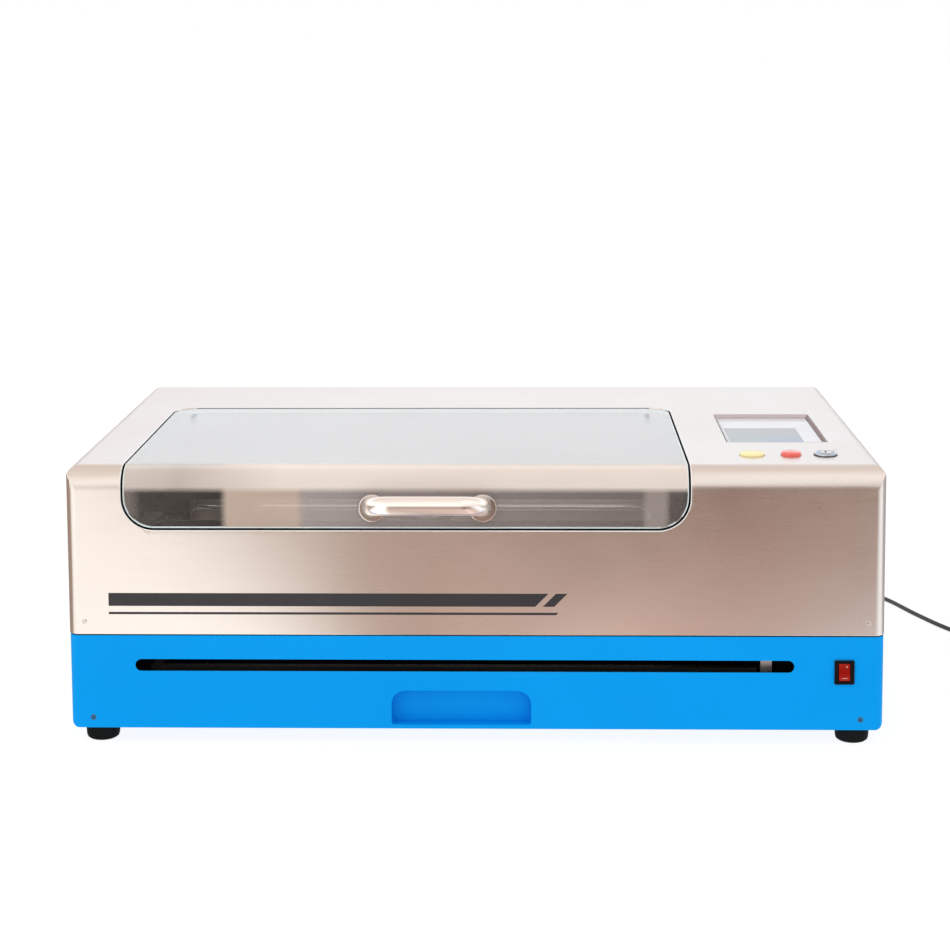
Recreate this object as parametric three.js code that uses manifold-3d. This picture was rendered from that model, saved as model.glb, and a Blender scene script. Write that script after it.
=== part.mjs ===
// Desktop laser cutter: a blue base on rubber feet, a folded stainless cover with a clear wrap-round lid,
// and inside it a glass laser tube, a two-axis gantry with a lens head, a honeycomb bed and an exhaust fan.
// Millimetres, +Z up. The origin is on the floor under the middle of the housing, and +Y points to the rear.
import * as THREE from 'three';
import { mergeVertices } from 'three/addons/utils/BufferGeometryUtils.js';
import Module from 'manifold-3d';

const wasm = await Module();
wasm.setup();

// ---- driving dimensions ----
const WIDTH = 864;
const DEPTH = 520;
const TOP = 298;
const SEAM = 118;
const FOOT_HEIGHT = 16;
const SHEET = 2;
const FIT = 0.3;
const OVER = 1;

const FRONT = -DEPTH / 2;
const REAR = DEPTH / 2;
const SIDE = WIDTH / 2;

const COVER_BEND = 24;
const SEAM_GAP = 1.2;
const BASE_INSET = 0.5;

const LID = { left: -370.5, right: 225, rear: 96, bottom: 233, thick: 4.5, rearRadius: 24, frontRadius: 32 };
const LID_GAP = 3;
const REAR_GAP = 5;
const LID_AXIS = { y: 78, z: 290 };

const HANDLE = { x: -49, z: 255, spacing: 116, reach: 36, rise: 10, radius: 10, bend: 22 };
const ROSETTE = { radius: 15, thick: 2.7 };

const SLOT = { left: -361, right: 337, low: 78, high: 91 };
const GRIP = { left: -88.7, right: 59.5, low: 20.5, high: 57.4, depth: 16, corner: 15 };
const SWITCH = { x: 389.5, z: 79, width: 21, height: 26, proud: 2 };

const SCREEN = { left: 277.5, right: 389.5, front: -119, rear: 56, bevel: 5, depth: 5 };
const BUTTON_Y = -191;
const YELLOW = { x: 298, radius: 13.3, proud: 3.2 };
const RED = { x: 339.5, radius: 10.8, proud: 4.6 };
const KEY = { x: 376.5, radius: 12.2, proud: 3, barrel: 6.6 };
const ROCKER_TILT = 9;

const BED = { left: -347, right: 299, front: -246, rear: 100, top: 79.5, thick: 11 };
const TRAY = { left: -325, right: 277, front: -224, rear: 78, low: 26, high: 44, sheet: 1.5 };
const DECK = { z: 120, thick: 3, left: -352, right: 202, front: -246, rear: 100 };
const WALL_X = 240;
const WALL_Y = 152;

const RAIL = { left: -366, right: 216, top: 178, front: -248, rear: 128, head: 16 };
const BELT = { left: -382, right: 232, z: 166, radius: 10, thick: 1.5, width: 6, front: -238, rear: 140 };
const GANTRY_Y = 60;
const CARRIAGE_X = -285;
const HEAD_Y = -42;
const BEAM = { left: -382, right: 236, half: 13, low: 196.3, high: 220 };
const OPTIC_Z = 245;
const OPTIC_X = -395;
const TUBE = { y: 205, radius: 25, left: -345, right: 330 };
const X_BELT = { left: -360, right: 218, radius: 8, z: 221.5, width: 6, thick: 1.2 };

const EXHAUST = { x: -72, z: 172, radius: 50, wall: 1.5, fan: 92 };
const COLLAR_LENGTH = HANDLE.reach + HANDLE.radius;

const INLET = { x: 372, z: 60 };
const CORD = { radius: 2.75, coilX: 642, coilY: 112, coilRadius: 30, coilHalf: 5.6, coilTop: 25.2 };
const PLUG = { at: [675.3, 178.8, 8.3], turn: 180 };

// ---- solids ----
const PLACE_X = new THREE.Matrix4().set(0, 0, 1, 0, 1, 0, 0, 0, 0, 1, 0, 0, 0, 0, 0, 1);
const PLACE_Y = new THREE.Matrix4().set(1, 0, 0, 0, 0, 0, -1, 0, 0, 1, 0, 0, 0, 0, 0, 1);

function toSolid(geometry) {
  const bare = geometry.clone();
  bare.deleteAttribute('normal');
  bare.deleteAttribute('uv');
  const merged = mergeVertices(bare, 1e-3);
  const vertProperties = new Float32Array(merged.attributes.position.array);
  const triVerts = new Uint32Array(merged.index.array);
  return new wasm.Manifold(new wasm.Mesh({ numProp: 3, vertProperties, triVerts }));
}

function toGeometry(solid) {
  const mesh = solid.getMesh();
  const geometry = new THREE.BufferGeometry();
  geometry.setAttribute('position', new THREE.BufferAttribute(new Float32Array(mesh.vertProperties), 3));
  geometry.setIndex(new THREE.BufferAttribute(new Uint32Array(mesh.triVerts), 1));
  geometry.computeVertexNormals();
  return geometry;
}

function box(x0, x1, y0, y1, z0, z1) {
  const geometry = new THREE.BoxGeometry(x1 - x0, y1 - y0, z1 - z0);
  geometry.translate((x0 + x1) / 2, (y0 + y1) / 2, (z0 + z1) / 2);
  return toSolid(geometry);
}

function join(...solids) {
  return solids.reduce((whole, solid) => whole.add(solid));
}

function cut(solid, ...tools) {
  return tools.reduce((rest, tool) => rest.subtract(tool), solid);
}

function extrude(shape, depth, curveSegments = 3) {
  return new THREE.ExtrudeGeometry(shape, { depth, bevelEnabled: false, curveSegments });
}

// a shape of (y, z) run along X, a shape of (x, z) run along Y, and a shape of (x, y) run along Z
function alongX(shape, x0, x1, segments) {
  return toSolid(extrude(shape, x1 - x0, segments).applyMatrix4(PLACE_X).translate(x0, 0, 0));
}

function alongY(shape, y0, y1, segments) {
  return toSolid(extrude(shape, y1 - y0, segments).applyMatrix4(PLACE_Y).translate(0, y1, 0));
}

function alongZ(shape, z0, z1, segments) {
  return toSolid(extrude(shape, z1 - z0, segments).translate(0, 0, z0));
}

function polygon(points) {
  return new THREE.Shape(points.map(([u, v]) => new THREE.Vector2(u, v)));
}

function disc(u, v, radius) {
  const shape = new THREE.Shape();
  shape.absarc(u, v, radius, 0, 2 * Math.PI);
  return shape;
}

// a rectangle whose lower-left, lower-right, upper-right and upper-left corners have their own radii
function roundedRect(u0, u1, v0, v1, [a, b, c, d]) {
  const shape = new THREE.Shape();
  const turn = Math.PI / 2;
  shape.moveTo(u0 + a, v0);
  shape.lineTo(u1 - b, v0);
  if (b) shape.absarc(u1 - b, v0 + b, b, -turn, 0);
  shape.lineTo(u1, v1 - c);
  if (c) shape.absarc(u1 - c, v1 - c, c, 0, turn);
  shape.lineTo(u0 + d, v1);
  if (d) shape.absarc(u0 + d, v1 - d, d, turn, 2 * turn);
  shape.lineTo(u0, v0 + a);
  if (a) shape.absarc(u0 + a, v0 + a, a, 2 * turn, 3 * turn);
  return shape;
}

// a regular section with flats, for a tube or a lead
function roundSection(radius, sides) {
  return polygon(Array.from({ length: sides }, (_, i) => {
    const angle = ((i + 0.5) / sides) * 2 * Math.PI;
    return [radius * Math.cos(angle), radius * Math.sin(angle)];
  }));
}

function stadium(u0, u1, v, radius) {
  return roundedRect(u0 - radius, u1 + radius, v - radius, v + radius, [radius, radius, radius, radius]);
}

// the square corner at (u, v) less the quarter round that replaces it; su and sv point into the plate
function cornerWaste(u, v, su, sv, radius) {
  const points = [[u - su * OVER, v - sv * OVER], [u + su * radius, v - sv * OVER]];
  const steps = 7;
  for (let i = 0; i <= steps; i++) {
    const angle = (i / steps) * (Math.PI / 2);
    points.push([u + su * radius * (1 - Math.sin(angle)), v + sv * radius * (1 - Math.cos(angle))]);
  }
  points.push([u - su * OVER, v + sv * radius]);
  return polygon(points);
}

function turned(profile, segments = 24) {
  const points = profile.map(([radius, height]) => new THREE.Vector2(radius, height));
  const geometry = new THREE.LatheGeometry(points, segments);
  geometry.rotateX(Math.PI / 2);
  return geometry;
}

function turnedSolid(profile, segments) {
  return toSolid(turned(profile, segments));
}

// ---- scene graph ----
function look(color, roughness, metalness) {
  return new THREE.MeshStandardMaterial({ color, roughness, metalness });
}

const LOOKS = {
  steel: look(0xd8cdc4, 0.3, 1),
  bluePaint: look(0x0a9ff0, 0.35, 0),
  blackPlastic: look(0x17181a, 0.45, 0),
  rubber: look(0x141414, 0.8, 0),
  acrylic: look(0xdfe3e4, 0.05, 0),
  aluminium: look(0xb9bcbf, 0.4, 1),
  chrome: look(0xdadde0, 0.1, 1),
  glass: look(0xe8f0f2, 0.05, 0),
  screen: look(0x9fb0c4, 0.1, 0),
  yellow: look(0xf3d96b, 0.35, 0),
  red: look(0xd6342c, 0.35, 0),
  board: look(0x12603a, 0.5, 0),
  brass: look(0xb98a3a, 0.3, 1),
  zinc: look(0x9a9da1, 0.45, 1),
  cord: look(0x2b2c2f, 0.6, 0),
};

function add(group, name, shape, finish) {
  const geometry = shape.isBufferGeometry ? shape : toGeometry(shape);
  const mesh = new THREE.Mesh(geometry, LOOKS[finish]);
  mesh.name = name;
  group.add(mesh);
  return mesh;
}

function groupAt(parent, x, y, z) {
  const group = new THREE.Group();
  group.position.set(x, y, z);
  parent.add(group);
  return group;
}

const machine = new THREE.Group();

// ---- housings ----
// the cover's outer form, or the form a distance inside it, as three outlines met together
function coverForm(inset, floor) {
  const soften = (radius) => Math.max(radius - inset, 0.5);
  const [front, rear, side, top] = [FRONT + inset, REAR - inset, SIDE - inset, TOP - inset];
  const endOutline = roundedRect(front, rear, floor, top, [0, 0, soften(4), soften(COVER_BEND)]);
  const planOutline = roundedRect(-side, side, front, rear, [soften(11), soften(11), soften(4), soften(4)]);
  const faceOutline = roundedRect(-side, side, floor, top, [0, 0, soften(5), soften(5)]);
  const end = alongX(endOutline, -side, side, 4);
  const plan = alongZ(planOutline, floor, top);
  const face = alongY(faceOutline, front, rear, 2);
  return end.intersect(plan).intersect(face);
}

// a plate that runs over the top, round the bend and down the front, from `outside` to `inside` the skin
function wrapPlate({ left, right, rear, bottom, outside, inside, rearRadius, frontRadius }) {
  const bendY = FRONT + COVER_BEND;
  const bendZ = TOP - COVER_BEND;
  const quarter = Math.PI / 2;
  const profile = new THREE.Shape();
  profile.moveTo(rear, TOP + outside);
  profile.lineTo(bendY, TOP + outside);
  profile.absarc(bendY, bendZ, COVER_BEND + outside, quarter, 2 * quarter);
  profile.lineTo(FRONT - outside, bottom);
  profile.lineTo(FRONT + inside, bottom);
  profile.lineTo(FRONT + inside, bendZ);
  profile.absarc(bendY, bendZ, COVER_BEND - inside, 2 * quarter, quarter, true);
  profile.lineTo(rear, TOP - inside);
  const waste = [];
  for (const [edge, sign] of [[left, 1], [right, -1]]) {
    const rearCorner = cornerWaste(edge, rear, sign, -1, rearRadius);
    const frontCorner = cornerWaste(edge, bottom, sign, 1, frontRadius);
    waste.push(alongZ(rearCorner, TOP - inside - OVER, TOP + outside + OVER));
    waste.push(alongY(frontCorner, FRONT - outside - OVER, FRONT + inside + OVER));
  }
  return cut(alongX(profile, left, right, 4), ...waste);
}

function upperCover() {
  const opening = wrapPlate({
    left: LID.left - LID_GAP, right: LID.right + LID_GAP, rear: LID.rear + REAR_GAP,
    bottom: LID.bottom - LID_GAP, outside: 4, inside: 8,
    rearRadius: LID.rearRadius + 2, frontRadius: LID.frontRadius + LID_GAP,
  });
  const holes = [
    box(SCREEN.left, SCREEN.right, SCREEN.front, SCREEN.rear, TOP - 10, TOP + OVER),
    alongZ(disc(YELLOW.x, BUTTON_Y, YELLOW.radius + 0.5), TOP - 10, TOP + OVER, 6),
    alongZ(disc(RED.x, BUTTON_Y, RED.radius + 0.5), TOP - 10, TOP + OVER, 6),
    alongZ(disc(KEY.x, BUTTON_Y, KEY.radius - 2), TOP - 10, TOP + OVER, 6),
    alongY(disc(EXHAUST.x, EXHAUST.z, EXHAUST.radius - 7), REAR - 10, REAR + OVER, 8),
  ];
  return cut(coverForm(0, SEAM), coverForm(SHEET, SEAM - OVER), opening, ...holes);
}

function baseForm(inset) {
  const soften = (radius) => Math.max(radius - inset, 0.5);
  const top = inset > BASE_INSET ? SEAM + OVER : SEAM - SEAM_GAP;
  const [front, rear, side] = [FRONT + inset, REAR - inset, SIDE - inset];
  const floor = FOOT_HEIGHT + inset - BASE_INSET;
  const planOutline = roundedRect(-side, side, front, rear, [soften(11), soften(11), soften(4), soften(4)]);
  const faceOutline = roundedRect(-side, side, floor, top, [soften(9), soften(9), 0, 0]);
  return alongZ(planOutline, floor, top).intersect(alongY(faceOutline, front, rear));
}

function baseShell() {
  const face = FRONT + BASE_INSET;
  const grip = (grow, y0, y1) => {
    const radii = [3 + grow, 3 + grow, GRIP.corner + grow, GRIP.corner + grow];
    const [left, right] = [GRIP.left - grow, GRIP.right + grow];
    return alongY(roundedRect(left, right, GRIP.low - grow, GRIP.high + grow, radii), y0, y1);
  };
  const slotMiddle = (SLOT.low + SLOT.high) / 2;
  const slotRadius = (SLOT.high - SLOT.low) / 2;
  const slot = stadium(SLOT.left + slotRadius, SLOT.right - slotRadius, slotMiddle, slotRadius);
  const gripShell = grip(SHEET, face + 0.5, face + GRIP.depth + SHEET);
  const inlet = roundedRect(INLET.x - 13.5, INLET.x + 13.5, INLET.z - 10, INLET.z + 10, [2, 2, 6, 6]);
  const [halfWide, halfHigh] = [SWITCH.width / 2 - 0.9, SWITCH.height / 2 - 0.9];
  const switchHole = box(
    SWITCH.x - halfWide, SWITCH.x + halfWide, FRONT - 5, FRONT + 10, SWITCH.z - halfHigh, SWITCH.z + halfHigh,
  );
  return cut(
    join(cut(baseForm(BASE_INSET), baseForm(BASE_INSET + SHEET)), gripShell),
    grip(0, face - 5, face + GRIP.depth),
    alongY(slot, FRONT - 5, REAR + 5, 4),
    switchHole,
    alongY(inlet, REAR - 5, REAR + 5, 1),
  );
}

function foot() {
  const top = FOOT_HEIGHT - FIT;
  return turned([[0, 0], [14.5, 0], [17, 1.6], [17.8, 4.5], [18.4, top], [0, top]], 24);
}

// ---- inner frame and bed ----
function motionFrame() {
  const half = SIDE - SHEET - 4;
  const plate = box(-half, half, FRONT + 6, REAR - 5, DECK.z, DECK.z + DECK.thick);
  const window = roundedRect(DECK.left, DECK.right, DECK.front, DECK.rear, [8, 8, 8, 8]);
  const cableHole = box(260, 400, -225, -110, DECK.z - OVER, DECK.z + 2 * DECK.thick);
  return cut(plate, alongZ(window, DECK.z - OVER, DECK.z + DECK.thick + OVER, 1), cableHole);
}

function sideWall() {
  const low = DECK.z + DECK.thick + FIT;
  const outline = roundedRect(FRONT + 6, WALL_Y - FIT, low, TOP - 6, [0, 0, 0, 22]);
  const plate = alongX(outline, WALL_X, WALL_X + SHEET, 2);
  return cut(plate, alongX(disc(BELT.rear, BELT.z, 9), WALL_X - OVER, WALL_X + SHEET + OVER, 4));
}

function rearWall() {
  const low = DECK.z + DECK.thick + FIT;
  const plate = box(-SIDE + SHEET + 4, WALL_X + SHEET, WALL_Y, WALL_Y + SHEET, low, TOP - 6);
  const beamHole = disc(OPTIC_X, OPTIC_Z, 10);
  const vent = disc(EXHAUST.x, EXHAUST.z, EXHAUST.fan / 2 - 5);
  const through = (shape, segments) => alongY(shape, WALL_Y - OVER, WALL_Y + SHEET + OVER, segments);
  return cut(plate, through(beamHole, 4), through(vent, 8));
}

function bedFrame() {
  const top = BED.top - BED.thick - FIT;
  const rim = 14;
  const ring = cut(
    box(BED.left, BED.right, BED.front, BED.rear, top - 8, top),
    box(BED.left + rim, BED.right - rim, BED.front + rim, BED.rear - rim, top - 8 - OVER, top + OVER),
  );
  const legs = [];
  for (const x of [BED.left, BED.right - rim]) {
    for (const y of [BED.front, BED.rear - rim]) {
      legs.push(box(x, x + rim, y, y + rim, FOOT_HEIGHT + SHEET + FIT, top - 4));
    }
  }
  const stop = box(BED.right - OVER, 315, BED.front + 2, BED.front + 12, top - 6, top);
  const post = box(303, 315, BED.front + 2, BED.front + 12, top - OVER, 93);
  return join(ring, ...legs, stop, post);
}

function honeycombBed() {
  return box(BED.left, BED.right, BED.front, BED.rear, BED.top - BED.thick, BED.top);
}

function bedTray() {
  const { left, right, front, rear, low, high, sheet } = TRAY;
  const hollow = box(left + sheet, right - sheet, front + sheet, rear - sheet, low + sheet, high + OVER);
  return cut(box(left, right, front, rear, low, high), hollow);
}

// ---- motion ----
function yRail() {
  const low = DECK.z + DECK.thick + FIT;
  const half = RAIL.head / 2;
  const profile = polygon([
    [-12, low], [12, low], [12, low + 4], [3, low + 4], [3, RAIL.top - 12], [half, RAIL.top - 12],
    [half, RAIL.top - 8], [half - 2, RAIL.top - 6], [half, RAIL.top - 4], [half, RAIL.top], [-half, RAIL.top],
    [-half, RAIL.top - 4], [-half + 2, RAIL.top - 6], [-half, RAIL.top - 8], [-half, RAIL.top - 12],
    [-3, RAIL.top - 12], [-3, low + 4], [-12, low + 4],
  ]);
  return alongY(profile, RAIL.front, RAIL.rear);
}

function beltLoop(front, rear, centre, radius, thick) {
  const loop = stadium(front, rear, centre, radius + thick);
  loop.holes.push(stadium(front, rear, centre, radius));
  return loop;
}

function yBelt() {
  const loop = beltLoop(BELT.front, BELT.rear, BELT.z, BELT.radius, BELT.thick);
  return alongX(loop, -BELT.width / 2, BELT.width / 2, 3);
}

function yDriveShaft() {
  const pulley = BELT.radius - FIT - 0.2;
  const half = BELT.width / 2 + 0.5;
  const profile = [[0, BELT.left - 8], [4, BELT.left - 8]];
  for (const x of [BELT.left, BELT.right]) {
    profile.push([4, x - half], [pulley, x - half], [pulley, x + half], [4, x + half]);
  }
  profile.push([4, WALL_X + 3.5], [0, WALL_X + 3.5]);
  return turned(profile, 16).rotateY(Math.PI / 2);
}

function stepperMotor(half, length) {
  const chamfer = 4;
  const face = polygon([
    [-half, -half + chamfer], [-half + chamfer, -half], [half - chamfer, -half], [half, -half + chamfer],
    [half, half - chamfer], [half - chamfer, half], [-half + chamfer, half], [-half, half - chamfer],
  ]);
  return alongZ(face, 0, length);
}

function gantryTruck(outer, inner, side) {
  const inside = RAIL.head / 2 + 0.5;
  const outside = inside + 3.5;
  const body = box(outer, inner, -14, 14, RAIL.top + 2.2, BEAM.low - FIT);
  const cheeks = [[-outside, -inside], [inside, outside]].map(
    ([x0, x1]) => box(x0, x1, -14, 14, RAIL.top - 11, RAIL.top + 3),
  );
  const grip = side * 16;
  return join(body, ...cheeks, box(grip - 3, grip + 3, -8, 8, RAIL.top + 0.2, RAIL.top + 3));
}

function gantryBeam() {
  const { half, low, high } = BEAM;
  const middle = (low + high) / 2;
  const groove = 3;
  const profile = polygon([
    [-half, low], [half, low], [half, middle - groove], [half - 4, middle - groove],
    [half - 4, middle + groove], [half, middle + groove], [half, high], [-half, high],
    [-half, middle + groove], [-half + 4, middle + groove],
    [-half + 4, middle - groove], [-half, middle - groove],
  ]);
  return alongX(profile, BEAM.left, BEAM.right);
}

// a square mirror cell whose face is cut back at 45 degrees, standing at the origin
function mirrorCell(size, turn) {
  const half = size / 2;
  const plan = polygon([[-half, -half], [half, -half], [half, half - 6], [half - 6, half], [-half, half]]);
  const cell = alongZ(plan, -half, half);
  return cell.rotate([0, 0, turn]);
}

function gantryMirror() {
  const plate = box(-12, 12, HEAD_Y - 13, 14, BEAM.low, BEAM.low + 4);
  const post = box(-9, 9, HEAD_Y - 12, HEAD_Y - 4, BEAM.low + 3, OPTIC_Z - 12);
  return join(plate, post, mirrorCell(26, 180).translate([0, HEAD_Y, OPTIC_Z]));
}

function rearMirror() {
  const low = DECK.z + DECK.thick + FIT;
  const foot = box(-16, 16, -16, 16, low, low + 4);
  const post = box(-8, 8, 4, 13, low + 3, OPTIC_Z - 12);
  return join(foot, post, mirrorCell(28, 270).translate([0, 0, OPTIC_Z]));
}

function xMotor() {
  const motor = stepperMotor(17, 28).translate([0, 0, 232]);
  const cheeks = [-12.8, 10.4].map((y) => box(-17, 17, y, y + 2.4, BEAM.high + FIT, 233));
  return join(motor, ...cheeks);
}

function xDrivePulley() {
  const r = X_BELT.radius - 0.4;
  const [low, rim, top] = [BEAM.high + 0.5, X_BELT.z + X_BELT.width + 0.7, 231.6];
  return turned([[0, low], [r, low], [r, rim], [2.5, rim], [2.5, top], [0, top]], 16);
}

function xBelt() {
  const loop = beltLoop(X_BELT.left, X_BELT.right, 0, X_BELT.radius, X_BELT.thick);
  return alongZ(loop, X_BELT.z, X_BELT.z + X_BELT.width, 3);
}

function carriagePlate() {
  const plate = box(-20, 20, -21, -BEAM.half - 2, 188, 234);
  const tab = box(-13, 13, -21, -5, 229, 234);
  const hook = box(-20, 20, -21, 8, 188, 191.5);
  const clamp = box(-9, 9, -21, -X_BELT.radius - X_BELT.thick - FIT, 221, 230);
  return join(plate, tab, hook, clamp);
}

function laserHead() {
  const barrel = turnedSolid([
    [0, 130], [11, 130], [11, 172], [13.5, 174], [13.5, 224], [10, 226], [10, 232], [0, 232],
  ], 20);
  const bracket = box(-11, 11, 11, -21 - HEAD_Y - FIT, 196, 222);
  const cell = mirrorCell(32, 90).translate([0, 0, OPTIC_Z]);
  return join(barrel, bracket, cell);
}

function nozzle() {
  return turned([[0, 97], [2.4, 97], [9.5, 118], [10.5, 120], [10.5, 130 - FIT], [0, 130 - FIT]], 20);
}

// ---- laser tube bay ----
function laserTube() {
  const length = TUBE.right - TUBE.left;
  const r = TUBE.radius;
  const profile = [
    [0, 0], [6, 0], [6, 14], [r - 9, 16], [r - 9, 34], [r, 42], [r, length - 50], [r - 9, length - 42],
    [r - 9, length - 20], [6, length - 16], [6, length], [0, length],
  ];
  return turned(profile, 20).rotateY(Math.PI / 2);
}

function tubeClamp() {
  const low = DECK.z + DECK.thick + FIT;
  const top = OPTIC_Z + TUBE.radius + 7;
  const outline = roundedRect(-34, 34, low, top, [0, 0, 20, 20]);
  const block = alongX(outline, -9, 9, 2);
  const bore = alongX(disc(0, OPTIC_Z, TUBE.radius + 1), -20, 20, 6);
  const arch = alongX(roundedRect(-20, 20, low - OVER, OPTIC_Z - TUBE.radius - 14, [0, 0, 6, 6]), -20, 20, 1);
  return cut(block, bore, arch);
}

function exhaustFanHousing() {
  const half = EXHAUST.fan / 2;
  const arm = half - 2;
  const plate = alongY(roundedRect(-half, half, -half, half, [5, 5, 5, 5]), -13, 12, 1);
  const motorCup = alongY(disc(0, 0, 17), 8, 12, 4);
  const spider = join(motorCup, box(-arm, arm, 8, 11, -2, 2), box(-2, 2, 8, 11, -arm, arm));
  return join(cut(plate, alongY(disc(0, 0, half - 3), -20, 20, 8)), spider);
}

function fanRotor() {
  const hub = alongY(disc(0, 0, 16), -11, 7, 6);
  const blades = [];
  const count = 7;
  for (let i = 0; i < count; i++) {
    const blade = box(-9, 9, -1, 1, 15, EXHAUST.fan / 2 - 6);
    blades.push(blade.rotate([0, 0, 35]).translate([0, -2, 0]).rotate([0, (360 * i) / count, 0]));
  }
  return join(hub, ...blades);
}

function exhaustCollar() {
  const { radius, wall } = EXHAUST;
  const flange = radius + 12;
  const profile = [
    [radius - wall, 0], [flange, 0], [flange, 2], [radius, 2], [radius, COLLAR_LENGTH],
    [radius - wall, COLLAR_LENGTH], [radius - wall, 0],
  ];
  return turned(profile, 24).rotateX(-Math.PI / 2);
}

// a board on edge beside the chamber wall, with its driver, its processor and a row of terminals
function controlBoard() {
  const [face, proud] = [248, 256];
  const parts = [[-50, 0, 152, 180], [8, 44, 150, 196], [-44, 20, 190, 206]];
  const chips = parts.map(([y0, y1, z0, z1]) => box(face - OVER, proud, y0, y1, z0, z1));
  return join(box(face - 2, face, -62, 62, 140, 216), ...chips);
}

// ---- controls ----
function screenFrame() {
  const grow = SCREEN.bevel;
  const low = TOP - SCREEN.depth - 5;
  const { left, right, front, rear } = SCREEN;
  const body = box(left + FIT, right - FIT, front + FIT, rear - FIT, low, TOP);
  const inner = grow + 1;
  const hole = roundedRect(left + inner, right - inner, front + inner, rear - inner, [0, 0, 0, 0]);
  const funnel = new THREE.ExtrudeGeometry(hole, {
    depth: 1, bevelEnabled: true, bevelThickness: SCREEN.depth, bevelSize: grow, bevelSegments: 1,
  });
  funnel.translate(0, 0, TOP);
  return cut(body, toSolid(funnel), alongZ(hole, low - OVER, TOP));
}

function screenPanel() {
  const { left, right, front, rear } = SCREEN;
  const inner = SCREEN.bevel + 1 + FIT;
  const low = TOP - SCREEN.depth - 5;
  return box(left + inner, right - inner, front + inner, rear - inner, low, low + 4.4);
}

function pushButton({ radius, proud }) {
  const edge = [[radius, proud * 0.35], [radius * 0.9, proud * 0.8]];
  const dome = [...edge, [radius * 0.5, proud * 0.97], [0, proud]];
  const stem = radius - 4;
  return turned([[0, -22], [stem, -22], [stem, -8], [radius, -8], ...dome], 24);
}

function keySwitchBody() {
  const { radius, barrel, proud } = KEY;
  const neck = radius - 2.4;
  return turned([
    [0, -24], [neck, -24], [neck, FIT], [radius, FIT], [radius, proud * 0.6], [radius - 1.4, proud],
    [barrel + 0.4, proud], [barrel + 0.4, -18], [0, -18],
  ], 24);
}

function keyBarrel() {
  const top = KEY.proud + 0.4;
  const plug = turnedSolid([[0, -17], [KEY.barrel, -17], [KEY.barrel, top], [0, top]], 20);
  return cut(plug, box(-1, 1, -4, 4, -8, top + OVER));
}

function switchBezel() {
  const [w, h] = [SWITCH.width / 2, SWITCH.height / 2];
  const face = FRONT + BASE_INSET;
  const flange = alongY(roundedRect(-w, w, -h, h, [1, 1, 1, 1]), face - SWITCH.proud, face - FIT, 1);
  const body = box(-w + 1.4, w - 1.4, face - OVER, face + 22, -h + 1.4, h - 1.4);
  const pocket = box(-6.6, 6.6, face - 5, face + 14, -9.8, 9.8);
  return cut(join(flange, body), pocket);
}

function powerRocker() {
  const profile = polygon([[6, -4], [6, 4], [-2.4, 9], [-1.2, 0], [-2.4, -9]]);
  return alongX(profile, -5.8, 5.8);
}

// ---- lid ----
function lidPanel() {
  return wrapPlate({ ...LID, outside: 0, inside: LID.thick });
}

function lidSeal() {
  const edge = 7;
  const depth = LID.thick + FIT;
  const ring = wrapPlate({
    left: LID.left - LID_GAP - edge, right: LID.right + LID_GAP + edge, rear: LID_AXIS.y - 6,
    bottom: LID.bottom - LID_GAP - edge, outside: -depth, inside: depth + 3, rearRadius: 1,
    frontRadius: LID.frontRadius + LID_GAP + edge,
  });
  const middle = wrapPlate({
    left: LID.left + edge, right: LID.right - edge, rear: LID.rear, bottom: LID.bottom + edge,
    outside: 0, inside: depth + 6, rearRadius: 1, frontRadius: LID.frontRadius - edge,
  });
  return cut(ring, middle);
}

function bowHandle() {
  const half = HANDLE.spacing / 2;
  const tilt = Math.atan2(HANDLE.rise, HANDLE.reach);
  const reach = Math.hypot(HANDLE.rise, HANDLE.reach);
  const { bend, radius } = HANDLE;
  const path = new THREE.CurvePath();
  const at = (x, y) => new THREE.Vector3(x, y, 0);
  const corner = (cx, from) => {
    const points = [0, 1, 2, 3, 4, 5].map((i) => {
      const a = from - (i / 5) * (Math.PI / 2);
      return at(cx + bend * Math.cos(a), bend - reach - bend * Math.sin(a));
    });
    return new THREE.CatmullRomCurve3(points);
  };
  const sink = 6;
  path.add(new THREE.LineCurve3(at(-half, sink), at(-half, bend - reach)));
  path.add(corner(-half + bend, Math.PI));
  path.add(new THREE.LineCurve3(at(bend - half, -reach), at(half - bend, -reach)));
  path.add(corner(half - bend, Math.PI / 2));
  path.add(new THREE.LineCurve3(at(half, bend - reach), at(half, sink)));
  const section = roundSection(radius, 12);
  const tube = new THREE.ExtrudeGeometry(section, { steps: 30, extrudePath: path, bevelEnabled: false });
  tube.rotateX(-tilt);
  return cut(toSolid(tube), box(-100, 100, -ROSETTE.thick - FIT, 60, -60, 60));
}

function rosette() {
  const { radius, thick } = ROSETTE;
  const profile = [[0, 0], [radius, 0], [radius, thick * 0.6], [radius - 1.2, thick], [0, thick]];
  return turned(profile, 24).rotateX(Math.PI / 2);
}

const GOOSENECK = { near: 1.2, far: 28, drop: 24, thick: 2.4 };
const KNUCKLE = { radius: 3.2, bore: 1.8, pin: 1.6, middle: 7, outer: 15 };

function barrelX(radius, x0, x1) {
  return alongX(disc(0, 0, radius), x0, x1, 6);
}

// a goose-neck that hangs under the cover's skin and carries the pin; its origin is on the lid's axis
function hingeBracket() {
  const skin = TOP - SHEET - FIT - LID_AXIS.z;
  const { near, far, drop, thick } = GOOSENECK;
  const neck = polygon([
    [far + 22, skin], [far - thick, skin], [far - thick, thick - drop], [near, thick - drop], [near, -1.5],
    [-near, -1.5], [-near, -drop], [far, -drop], [far, skin - thick], [far + 22, skin - thick],
  ]);
  const { middle, radius, bore } = KNUCKLE;
  return cut(join(alongX(neck, -middle, middle), barrelX(radius, -middle, middle)), barrelX(bore, -20, 20));
}

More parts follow.
